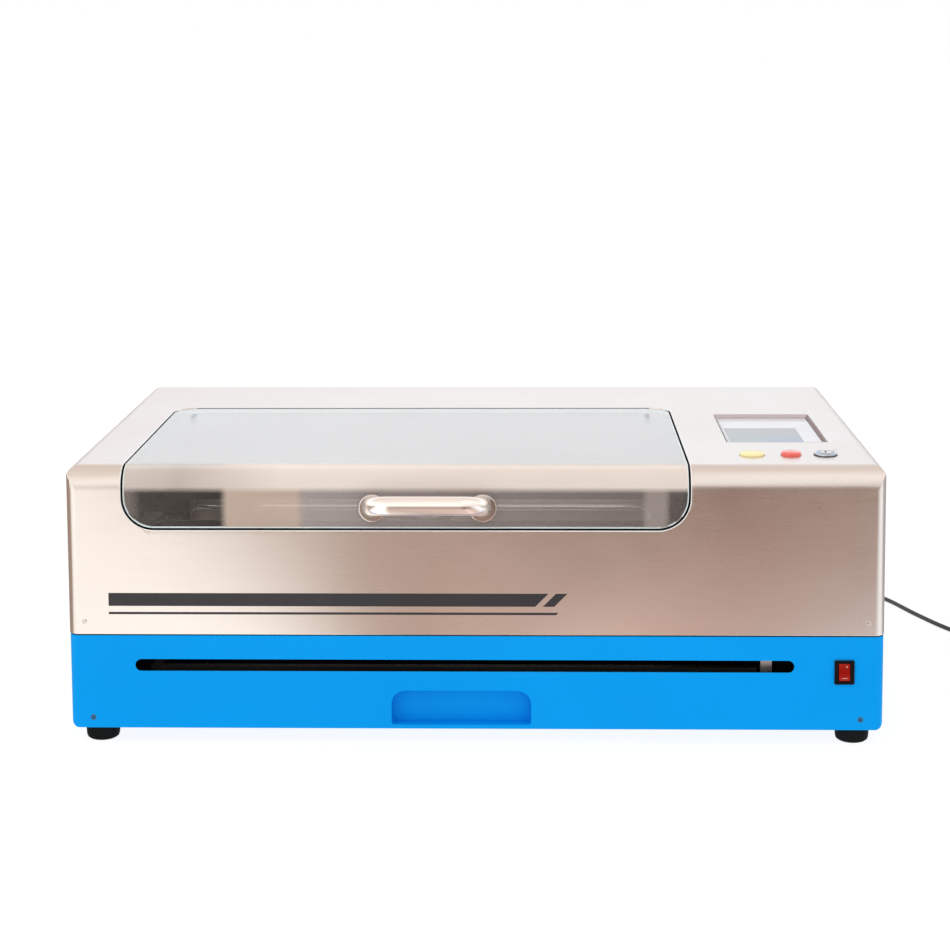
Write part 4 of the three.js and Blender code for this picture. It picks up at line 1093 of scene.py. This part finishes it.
def rocker_bezel():
    face, x, z = FRONT + BASE_INSET, SWITCH["x"], SWITCH["z"]
    w, h = SWITCH["width"] / 2, SWITCH["height"] / 2
    bezel = cutter("Y", rounded(x - w, x + w, z - h, z + h, (1.2,) * 4, 5), face - 2, face - FIT)
    body = box_cutter(x - w + 1.4, x + w - 1.4, face - 1, face + 22, z - h + 1.4, z + h - 1.4)
    combine(bezel, [body], "UNION")
    return combine(bezel, [box_cutter(x - 7.4, x + 7.4, face - 5, face - 1.2, z - 10.6, z + 10.6),
                           box_cutter(x - 6.6, x + 6.6, face - 5, face + 14, z - 9.8, z + 9.8)])


dress(
    rocker_bezel(), "rocker_surround", bezel_black, "chassis", "black_plastic", ["switch_bezel"],
    bevel=0.35, limit=50)
ROCKER_TURN = at(SWITCH["x"], FRONT + BASE_INSET, SWITCH["z"], -9)


def rocker_part(name, axis, outline, low, high, material, slot, **options):
    """A piece given in the rocker's own frame: x across, y inwards and z up from its axis."""
    obj = cutter(axis, outline, low, high)
    obj.data.transform(Matrix.Scale(MM, 4) @ ROCKER_TURN @ Matrix.Scale(1 / MM, 4))
    dress(obj, name, material, "rocker", slot, **options)


rocker_outline = [(6, -4), (6, 4), (-2.3, 8.9), (-1.75, 4.5), (-1.25, 0.0), (-1.75, -4.5), (-2.3, -8.9)]
rocker_part(
    "rocker_cap", "X", rocker_outline, -5.8, 5.8, rocker_red, "red_plastic", replaces=["power_rocker"],
    bevel=0.35, limit=60)
rocker_part(
    "rocker_mark_bar", "Y", rounded(-3.2, 3.2, -6.6, -5.9, (0.3,) * 4, 3), -2.25, -1.9, white_mark, None,
    weighted=False)
rocker_part("rocker_mark_dot", "Y", circle(2.6, 5.6, 0.9, 24), -2.1, -1.8, white_mark, None, weighted=False)


# ---- carried-over CAD parts: rounded edges and their own finishes ----
# near-black crumb tray: painted shade inside the machine
tray_painted_shade = brushed("tray_sheet_painted_shade", (0.015, 0.014, 0.013), 0.45, spread=0.08, tint=0.15)
galvanised = brushed("galvanised_sheet", (0.72, 0.7, 0.67), 0.4, spread=0.07, tint=0.05)
black_anodised = plain(
    "black_anodised", (0.02, 0.019, 0.019), 0.4, 0.3, tint=0.15, grain=1400, grain_depth=0.00002,
    wear_and_edge_highlight=(0.12, 0.11, 0.11))
wall_steel = brushed("chamber_wall_sheet", (0.7, 0.66, 0.62), 0.3, spread=0.06, tint=0.05)


def finish_node(node, material, bevel):
    """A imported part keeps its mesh: its edges are rounded by modifiers, and it gets a material of its own."""
    obj = NODES[node]
    obj.data.materials.clear()
    obj.data.materials.append(material)
    weld = obj.modifiers.new("weld", "WELD")
    weld.merge_threshold = 0.00001
    add_bevel(obj, bevel, 35, clamp=True)


# material, slot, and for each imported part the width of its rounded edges
CAD_FINISHES = (
    (galvanised, "inner_steel", {"motion_frame": 0.4, "hinge_bracket_left": 0.3, "hinge_bracket_right": 0.3}),
    (wall_steel, "inner_steel", {"chamber_side_wall": 0.3, "chamber_rear_wall": 0.3}),
    (tray_painted_shade, "inner_steel", {"crumb_tray": 0.3}),
    (anodised, "anodised", {"bed_frame": 0.5, "y_rail_left": 0.3, "y_rail_right": 0.3,
                            "mirror_mount_rear": 0.6, "carriage_plate": 0.5}),
    (black_anodised, "anodised", {"gantry_beam": 0.4, "gantry_truck_left": 0.5, "gantry_truck_right": 0.5}),
    (motor_black, "motor_black", {"mirror_mount_gantry": 0.6, "x_motor": 0.5, "y_motor": 0.5}),
    (black_plastic, "black_plastic", {"tube_clamp_left": 0.8, "tube_clamp_right": 0.8, "fan_rotor": 0.4,
                                      "exhaust_fan_housing": 0.6, "power_inlet": 0.4}),
    (supply_case, "supply_case", {"laser_power_supply": 1.2}),
    (board_green, "circuit_board", {"control_board": 0.2}),
    (screw_dark, "motor_black", {"hinge_leaf_left": 0.3, "hinge_leaf_right": 0.3}),
)
for material, slot, nodes in CAD_FINISHES:
    for node, bevel in nodes.items():
        finish_node(node, material, bevel)


def honeycomb(bm, x0, x1, y0, y1, low, high, pitch=9.6, wall=0.55):
    """Open six-sided cells with thin walls between them, inside a rectangle."""
    step = pitch * math.sqrt(3) / 2
    size = pitch / math.sqrt(3)
    corners = {}
    def corner(x, y):
        key = (round(x, 2), round(y, 2))
        if key not in corners:
            corners[key] = bm.verts.new((x, y, low))
        return corners[key]
    cells = []
    columns, rows = int((x1 - x0) / step) - 1, int((y1 - y0) / pitch) - 1
    for i in range(columns):
        for j in range(rows):
            x = x0 + (x1 - x0 - (columns - 1) * step) / 2 + i * step
            y = y0 + (y1 - y0 - (rows - 0.5) * pitch) / 2 + (j + 0.5 * (i % 2) + 0.25) * pitch
            cells.append(
                bm.faces.new(
                    [
                        corner(x + size * math.cos(k * TURN / 6), y + size * math.sin(k * TURN / 6))
                        for k in range(6)]))
    bmesh.ops.inset_individual(bm, faces=cells, thickness=wall / 2, use_even_offset=True)
    bmesh.ops.delete(bm, geom=cells, context="FACES_ONLY")
    top = bmesh.ops.extrude_face_region(bm, geom=list(bm.faces))
    bmesh.ops.translate(
        bm, vec=(0, 0, high - low), verts=[v for v in top["geom"] if isinstance(v, bmesh.types.BMVert)])


BED_LOW, BED_HIGH = (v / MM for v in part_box("honeycomb_bed"))


def bed_cells(bm):
    a, b, rim = BED_LOW, BED_HIGH, 8
    honeycomb(bm, a.x + rim, b.x - rim, a.y + rim, b.y - rim, a.z + 0.5, b.z - 0.4)


def bed_rim(bm):
    a, b, rim = BED_LOW, BED_HIGH, 10
    block(bm, a.x, b.x, a.y, a.y + rim, a.z, b.z)
    block(bm, a.x, b.x, b.y - rim, b.y, a.z, b.z)
    block(bm, a.x, a.x + rim, a.y + rim, b.y - rim, a.z, b.z)
    block(bm, b.x - rim, b.x, a.y + rim, b.y - rim, a.z, b.z)


# near-black honeycomb foil and rim: painted shade inside the machine
foil_painted_shade = plain("honeycomb_foil", (0.03, 0.029, 0.028), 0.45, 0.9, tint=0.25, grain=900)
piece("honeycomb_cells", bed_cells, foil_painted_shade, slot="anodised", weighted=False, angle=20)
piece(
    "honeycomb_rim", bed_rim,
    plain("bed_rim_painted_shade", (0.012, 0.012, 0.012), 0.6, 0.3, tint=0.2, Specular_IOR_Level=0.1),
    slot="anodised", replaces=["honeycomb_bed"], bevel=0.5)

# ---- motion, optics and services ----
GANTRY_Y = 60
CARRIAGE_X = -285
HEAD_Y = -42 + GANTRY_Y
OPTIC_Z = 245
DECK_TOP = 123


def laser_tube():
    a, b = (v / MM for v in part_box("laser_tube"))
    y, r = (a.y + b.y) / 2, (b.z - a.z) / 2
    length = b.x - a.x
    place = Matrix.Translation((a.x, y, OPTIC_Z)) @ Matrix.Rotation(QUARTER, 4, "Y")
    glass = acrylic("tube_glass", (0.03, 0.2))
    ends = [
        (0, 0), (5.2, 0), (6, 0.6), (6, 13.4), (r - 10, 14), (r - 9, 15), (r - 9, 34), (r - 4, 38),
        (r - 1, 41.5), (r, 45)]
    far = [
        (r, length - 53), (r - 1, length - 49), (r - 4, length - 46), (r - 9, length - 42),
        (r - 9, length - 21), (r - 10, length - 20), (6, length - 16.6), (6, length - 0.6), (5.2, length),
        (0, length)]
    turned("laser_tube_glass", ends + far, place, 64, glass, slot="tube_glass", replaces=["laser_tube"])
    core = [(0, 40), (7, 40), (7.6, 41), (7.6, length - 46), (7, length - 45), (0, length - 45)]
    turned("laser_tube_core", core, place, 40, glass, slot="tube_glass")
    coil = []
    for i in range(241):
        t = i / 240
        angle = t * 10 * TURN
        along = 60 + t * (length - 130)
        coil.append(place @ Vector((12.5 * math.cos(angle), 12.5 * math.sin(angle), along)))
    piece(
        "laser_tube_water_coil", lambda bm: sweep(bm, coil, circle(0, 0, 2.2, 10), up=X),
        glass, slot="tube_glass")
    for i, x in enumerate((24, length - 32)):
        band = [(8.9, -6), (8, -6), (7.6, -5), (7.6, 5), (8, 6), (8.9, 6), (8.9, -6)]
        turned(
            f"laser_tube_band_{i}", [(r - inset, x + end) for inset, end in band], place, 48, copper_red,
            slot="brass")


laser_tube()


def belt(name, body, node, centre, half_run, radius, thick, width, axis):
    """A toothed belt run round two pulleys: its teeth are inside."""
    path_axis, across = axis
    points = []
    straight = 2 * half_run
    total = 2 * straight + TURN * radius
    steps = int(total / 2.0)
    for i in range(steps):
        d = i / steps * total
        if d < straight:
            u, v, n = -half_run + d, radius, (0, 1)
        elif d < straight + math.pi * radius:
            a = QUARTER - (d - straight) / radius
            u, v, n = half_run + radius * math.cos(a), radius * math.sin(a), (math.cos(a), math.sin(a))
        elif d < 2 * straight + math.pi * radius:
            u, v, n = half_run - (d - straight - math.pi * radius), -radius, (0, -1)
        else:
            a = -QUARTER - (d - 2 * straight - math.pi * radius) / radius
            u, v, n = -half_run + radius * math.cos(a), radius * math.sin(a), (math.cos(a), math.sin(a))
        points.append((u, v, n, thick * (0.05 if i % 2 else 0.55)))
    def build(bm):
        rings = []
        for u, v, (nu, nv), depth in points:
            ring = []
            for w, out in (
                    (-width / 2, thick), (width / 2, thick), (width / 2, depth), (-width / 2, depth)):
                pu, pv = u + nu * out, v + nv * out
                ring.append(bm.verts.new(centre + path_axis * pu + across[0] * pv + across[1] * w))
            rings.append(ring)
        for i, a in enumerate(rings):
            b = rings[(i + 1) % len(rings)]
            for k in range(4):
                bm.faces.new((a[k], a[(k + 1) % 4], b[(k + 1) % 4], b[k]))
    piece(name, build, belt_rubber, body, "belt_rubber", replaces=[node], weighted=False, angle=30)


Y_BELTS = (("left", -382), ("right", 232))
Y_BELT_Z, Y_IDLER_Y = 166, -238
IDLER = [(0, -4.2), (9.6, -4.2), (9.6, -3.5), (9.2, -3.4), (9.2, 3.4), (9.6, 3.5), (9.6, 4.2), (0, 4.2)]


def idler_post(bm, x):
    """A bracket on the outside of a front idler, with the idler's axle."""
    sign = -1 if x < 0 else 1
    near, far = sorted((x + sign * 5, x + sign * 8))
    block(bm, near, far, -246, -230, DECK_TOP + FIT, 174)
    low, high = (-8, 5) if sign < 0 else (-5, 8)
    lathe(bm, [(0, low), (2, low), (2, high), (0, high)], at(x, Y_IDLER_Y, Y_BELT_Z, 90, "Y"), 20)


for side, x in Y_BELTS:
    belt(
        f"y_belt_{side}_toothed", "chassis", f"y_belt_{side}", Vector((x, -49, Y_BELT_Z)), 189, 10, 1.5, 6,
        (Y, (Z, X)))
    turned(f"y_idler_{side}", IDLER, at(x, Y_IDLER_Y, Y_BELT_Z, 90, "Y"), 40, anodised, slot="anodised")
    piece(
        f"y_idler_post_{side}", lambda bm, x=x: idler_post(bm, x), galvanised, slot="inner_steel",
        weighted=False)
belt("x_belt_toothed", "gantry", "x_belt", Vector((-71, GANTRY_Y, 224.5)), 289, 8, 1.2, 6, (X, (Y, Z)))
x_idler = [
    (0, 220.4), (7.7, 220.4), (7.7, 221.2), (7.3, 221.4), (7.3, 227.6), (7.7, 227.8), (7.7, 228.6),
    (3, 228.6), (3, 230), (0, 230)]
turned("x_idler", x_idler, at(-360, GANTRY_Y, 0), 36, anodised, "gantry", "anodised")


def drive_shaft(bm):
    profile = [(0, -390), (3.4, -390), (4, -389.4)]
    for _, x in Y_BELTS:
        profile += [
            (4, x - 3.5), (9.2, x - 3.5), (9.5, x - 3.2), (9.5, x - 2.9), (9.1, x - 2.8), (9.1, x + 2.8),
            (9.5, x + 2.9), (9.5, x + 3.2), (9.2, x + 3.5), (4, x + 3.5)]
    profile += [(4, 243.5), (0, 243.5)]
    lathe(bm, profile, at(0, 140, Y_BELT_Z, 90, "Y"), 36)


piece("y_drive_shaft_turned", drive_shaft, chrome, "y_shaft", "chrome", replaces=["y_drive_shaft"])
x_pulley = [
    (0, 220.5), (7.6, 220.5), (7.6, 221.2), (7.3, 221.4), (7.3, 227.7), (7.6, 227.9), (7.6, 228.7),
    (2.5, 228.7), (2.5, 231.6), (0, 231.6)]
turned(
    "x_pulley_turned", x_pulley, at(218, GANTRY_Y, 0), 36, anodised, "x_pulley", "anodised",
    replaces=["x_drive_pulley"])


def laser_head():
    barrel = [(0, 130), (10.4, 130), (11, 130.6), (11, 150), (11.4, 150.4)]
    for k in range(6):
        z = 151 + k * 2.6
        barrel += [(11.8, z), (11.8, z + 1.2), (11.2, z + 1.5), (11.2, z + 2.3)]
    barrel += [
        (11, 168), (11, 172), (12.9, 173.6), (13.5, 174.4), (13.5, 223.4), (13, 224), (10.4, 225.8),
        (10, 226.4), (10, 232), (0, 232)]
    y = HEAD_Y
    axis = at(CARRIAGE_X, y, 0)
    turned(
        "laser_head_barrel", barrel, axis, 56, motor_black, "carriage", "motor_black",
        replaces=["laser_head"])
    plate = y + 21 - FIT
    plan = [(-16, -16), (16, -16), (16, 10), (10, 16), (-16, 16)]
    turn = Matrix.Translation((CARRIAGE_X, y, OPTIC_Z)) @ Matrix.Rotation(QUARTER, 4, "Z")
    def mount(bm):
        block(bm, CARRIAGE_X - 11, CARRIAGE_X + 11, y + 11, plate, 196, 222)
        start = len(bm.verts)
        prism(bm, plan, "Z", -16, 16)
        bm.verts.ensure_lookup_table()
        for v in list(bm.verts)[start:]:
            v.co = turn @ v.co
    piece("laser_head_cell", mount, motor_black, "carriage", "motor_black", bevel=0.7)
    for k, (dx, dz) in enumerate(((-10, -10), (10, -10), (10, 10))):
        turned(f"laser_head_adjuster_{k}", [(0, 0), (2.6, 0), (2.6, 3.4), (2.1, 4), (0, 4)],
               facing(CARRIAGE_X + dx, y - 16.2, OPTIC_Z + dz, AHEAD), 20, brass, "carriage", "brass")
    ring = [(11.1, 143), (12.6, 143), (12.9, 143.4), (12.9, 146.6), (12.6, 147), (11.1, 147), (11.1, 143)]
    turned("laser_head_ring", ring, axis, 48, copper_red, "carriage", "brass")
    nozzle = [
        (0, 97), (2.0, 97), (2.4, 97.4), (9.2, 117.4), (9.8, 118.6), (10.5, 119.4), (10.5, 129.2),
        (10.1, 129.7), (0, 129.7)]
    turned("nozzle_turned", nozzle, axis, 48, brass, "carriage", "brass", replaces=["nozzle"])


laser_head()


def exhaust_collar(bm):
    r, wall, length = EXHAUST["radius"], 1.5, 46
    profile = [
        (r - wall, 0), (r + 11.6, 0), (r + 12, 0.4), (r + 12, 1.6), (r + 11.6, 2), (r + 0.8, 2), (r, 2.8),
        (r, length - 9), (r + 0.01, length - 8), (r, length - 0.4), (r - 0.4, length), (r - wall, length),
        (r - wall, 0)]
    lathe(bm, profile, at(EXHAUST["x"], REAR + FIT, EXHAUST["z"], -90), 96)


piece("exhaust_spigot", exhaust_collar, anodised, slot="anodised", replaces=["exhaust_collar"])
for k in range(4):
    angle = QUARTER * (k + 0.5)
    x, z = EXHAUST["x"] + 56 * math.cos(angle), EXHAUST["z"] + 56 * math.sin(angle)
    place = facing(x, REAR + 2.25, z, BEHIND, 15 * k)
    screw(f"exhaust_screw_{k}", place, 2.6, screw_steel, proud=0.9, head=0.6)


def finger_guard(bm):
    x, y, z = EXHAUST["x"], REAR + FIT + 3.4, EXHAUST["z"]
    for r in (10, 20, 30, 40, 47.6):
        ring = [(x + r * math.cos(i * TURN / 72), y, z + r * math.sin(i * TURN / 72)) for i in range(72)]
        sweep(bm, ring, circle(0, 0, 0.8, 8), up=Y, closed=True)
    for k in range(4):
        a = QUARTER * (k + 0.5)
        spoke = [(x + r * math.cos(a), y - 1.2, z + r * math.sin(a)) for r in (9, 48.2)]
        sweep(bm, spoke, circle(0, 0, 0.9, 8), up=Y)


piece("exhaust_finger_guard", finger_guard, chrome, slot="chrome", weighted=False)
for k, dx in enumerate((-15.4, 15.4)):
    screw(
        f"inlet_screw_{k}", facing(INLET[0] + dx, REAR + 2.4, INLET[1], BEHIND, 30 * k), 1.6, screw_dark,
        proud=0.3, head=0.5)


# ---- stage ----
def stage_material(name, color, glow):
    """A matt stage colour that also glows by itself a little, so that shadows on it stay pale."""
    look = Look(name)
    look.settings(Roughness=0.9, Specular_IOR_Level=0.0, Emission_Strength=1.0)
    look.bsdf.inputs["Base Color"].default_value = (*color, 1)
    look.bsdf.inputs["Emission Color"].default_value = (glow, glow, glow, 1)
    return look.material


def reflector_material(name):
    """What shiny surfaces see of the studio: each corner of the sheet has its own colour."""
    look = Look(name)
    look.settings(Roughness=1.0, Specular_IOR_Level=0.0, Emission_Strength=1.0)
    look.bsdf.inputs["Base Color"].default_value = (0, 0, 0, 1)
    tint = look.add("ShaderNodeVertexColor", layer_name="tint")
    look.link(tint.outputs["Color"], look.bsdf.inputs["Emission Color"])
    return look.material


def between(stops, at):
    """The colour at a place in a list of (place, colour), going smoothly from one to the next."""
    if at <= stops[0][0]:
        return stops[0][1]
    for (a, first), (b, second) in zip(stops, stops[1:]):
        if at <= b:
            t = (at - a) / (b - a)
            t = t * t * (3 - 2 * t)
            return tuple(x + (y - x) * t for x, y in zip(first, second))
    return stops[-1][1]


# what lies in each direction round the machine, in degrees from the front towards the right
AROUND = [
    (-180, (0.72, 0.68, 0.66)), (-165, (0.42, 0.32, 0.27)), (-120, (0.38, 0.28, 0.23)),
    (-68, (0.40, 0.295, 0.24)), (-57, (1.20, 1.17, 1.14)), (-24, (1.43, 1.405, 1.38)),
    (-17, (0.78, 0.67, 0.60)), (-10, (0.44, 0.33, 0.275)), (-2, (0.435, 0.305, 0.25)),
    (9, (0.17, 0.106, 0.085)), (19, (0.33, 0.21, 0.165)), (27, (0.36, 0.225, 0.175)),
    (34, (0.5, 0.4, 0.36)), (44, (0.9, 0.9, 0.92)), (60, (1.15, 1.17, 1.2)), (70, (1.1, 1.1, 1.12)),
    (84, (0.46, 0.44, 0.44)), (165, (0.52, 0.5, 0.5)), (180, (0.72, 0.68, 0.66))]


def floor_tint(azimuth, distance):
    front = max(0.0, 1 - abs(azimuth - 14) / 30)
    near = front * max(0.0, min((1.05 - distance) / 0.35, 1.0))
    gain = 1 + front * between([(0.7, (1.5,)), (0.9, (0.9,)), (1.1, (0.35,)), (1.5, (-0.12,))], distance)[0]
    return tuple(
        (c + (n - c) * near) * gain for c, n in zip(between(AROUND, azimuth), (0.40, 0.305, 0.275)))


def sky_tint(azimuth, height):
    low = between(AROUND, azimuth)
    side = max(0.0, min(0.5 + 1.6 * math.sin(math.radians(azimuth)), 1.0))
    front = max(0.0, min((110 - abs(azimuth)) / 30, 1.0))
    def blend(left, right):
        return tuple(a + (b - a) * side for a, b in zip(left, right))
    ahead = [
        (0, low), (4, low), (10, blend((1.30, 1.26, 1.22), (0.85, 0.76, 0.71))),
        (30, blend((1.25, 1.20, 1.14), (1.05, 1.0, 0.95))),
        (60, blend((0.95, 0.86, 0.79), (1.2, 1.15, 1.12))), (90, (0.90, 0.80, 0.74))]
    behind = [(0, low), (5, low), (10, (1.19, 1.25, 1.32)), (22, (1.19, 1.25, 1.32)),
              (48, blend((0.857, 0.733, 0.664), (0.87, 0.78, 0.72))), (90, (0.90, 0.80, 0.74))]
    return tuple(b + (a - b) * front for a, b in zip(between(ahead, height), between(behind, height)))


def reflector(name, rings, tint):
    """A sheet seen only in reflections: rings are (radius, height), tint(azimuth, ring) its colour."""
    bm = bmesh.new()
    layer = bm.loops.layers.float_color.new("tint")
    count = 144
    grid, colors = [], {}
    for k, (radius, height) in enumerate(rings):
        row = []
        for i in range(count):
            azimuth = -180 + 360 * i / count
            a = math.radians(azimuth)
            vert = bm.verts.new((radius * math.sin(a), -radius * math.cos(a), height))
            colors[vert] = (*tint(azimuth, k), 1)
            row.append(vert)
        grid.append(row)
    for a, b in zip(grid, grid[1:]):
        for i in range(count):
            face = bm.faces.new((a[i], a[(i + 1) % count], b[(i + 1) % count], b[i]))
            for loop in face.loops:
                loop[layer] = colors[loop.vert]
    mesh = bpy.data.meshes.new(name)
    bm.to_mesh(mesh)
    bm.free()
    mesh.materials.append(reflector_material(name))
    obj = new_object(name, mesh)
    obj.visible_camera = obj.visible_diffuse = obj.visible_shadow = obj.visible_transmission = False
    obj.visible_volume_scatter = False


def make_stage():
    bm = bmesh.new()
    half = 60
    bm.faces.new(
        [bm.verts.new(c) for c in ((-half, -half, 0), (half, -half, 0), (half, half, 0), (-half, half, 0))])
    mesh = bpy.data.meshes.new("floor")
    bm.to_mesh(mesh)
    bm.free()
    mesh.materials.append(stage_material("pale_floor", (0.14, 0.14, 0.14), 0.9))
    floor = new_object("floor", mesh)
    floor.visible_glossy = False
    spread = [0.25, 0.45, 0.65, 0.85, 1.05, 1.25, 1.45, 1.7, 2.1, 3.0, 5.0, 12.0, 45.0]
    reflector("floor_reflector", [(r, 0.004) for r in spread], lambda a, k: floor_tint(a, spread[k]))
    heights = [0, 3, 6, 10, 15, 20, 30, 40, 50, 60, 70, 80, 89.9]
    dome = [(45 * math.cos(math.radians(h)), 45 * math.sin(math.radians(h))) for h in heights]
    reflector("sky_reflector", dome, lambda a, k: sky_tint(a, heights[k]))


make_stage()


def area_light(name, place, target, size, power, color=(1, 1, 1)):
    data = bpy.data.lights.new(name, "AREA")
    data.shape, data.size, data.size_y = "RECTANGLE", *size
    data.energy, data.color = power, color
    light = new_object(name, data)
    light.location = place
    light.rotation_mode = "QUATERNION"
    light.rotation_quaternion = (Vector(target) - Vector(place)).to_track_quat("-Z", "Y")
    light.visible_camera = light.visible_glossy = False


area_light("soft_top", (-1.0, -1.0, 3.0), (0, 0, 0), (3.0, 3.0), 18)
area_light(
    "chamber_light", (-0.07, -0.246, 0.222), (-0.07, 0.15, 0.205), (0.5, 0.012), 0.14, (1.0, 0.86, 0.76))


def make_world():
    world = bpy.data.worlds.new("studio")
    world.use_nodes = True
    scene.world = world
    background = world.node_tree.nodes["Background"]
    background.inputs["Color"].default_value = (1, 1, 1, 1)
    background.inputs["Strength"].default_value = 1.0


make_world()
scene.view_settings.view_transform = "Standard"
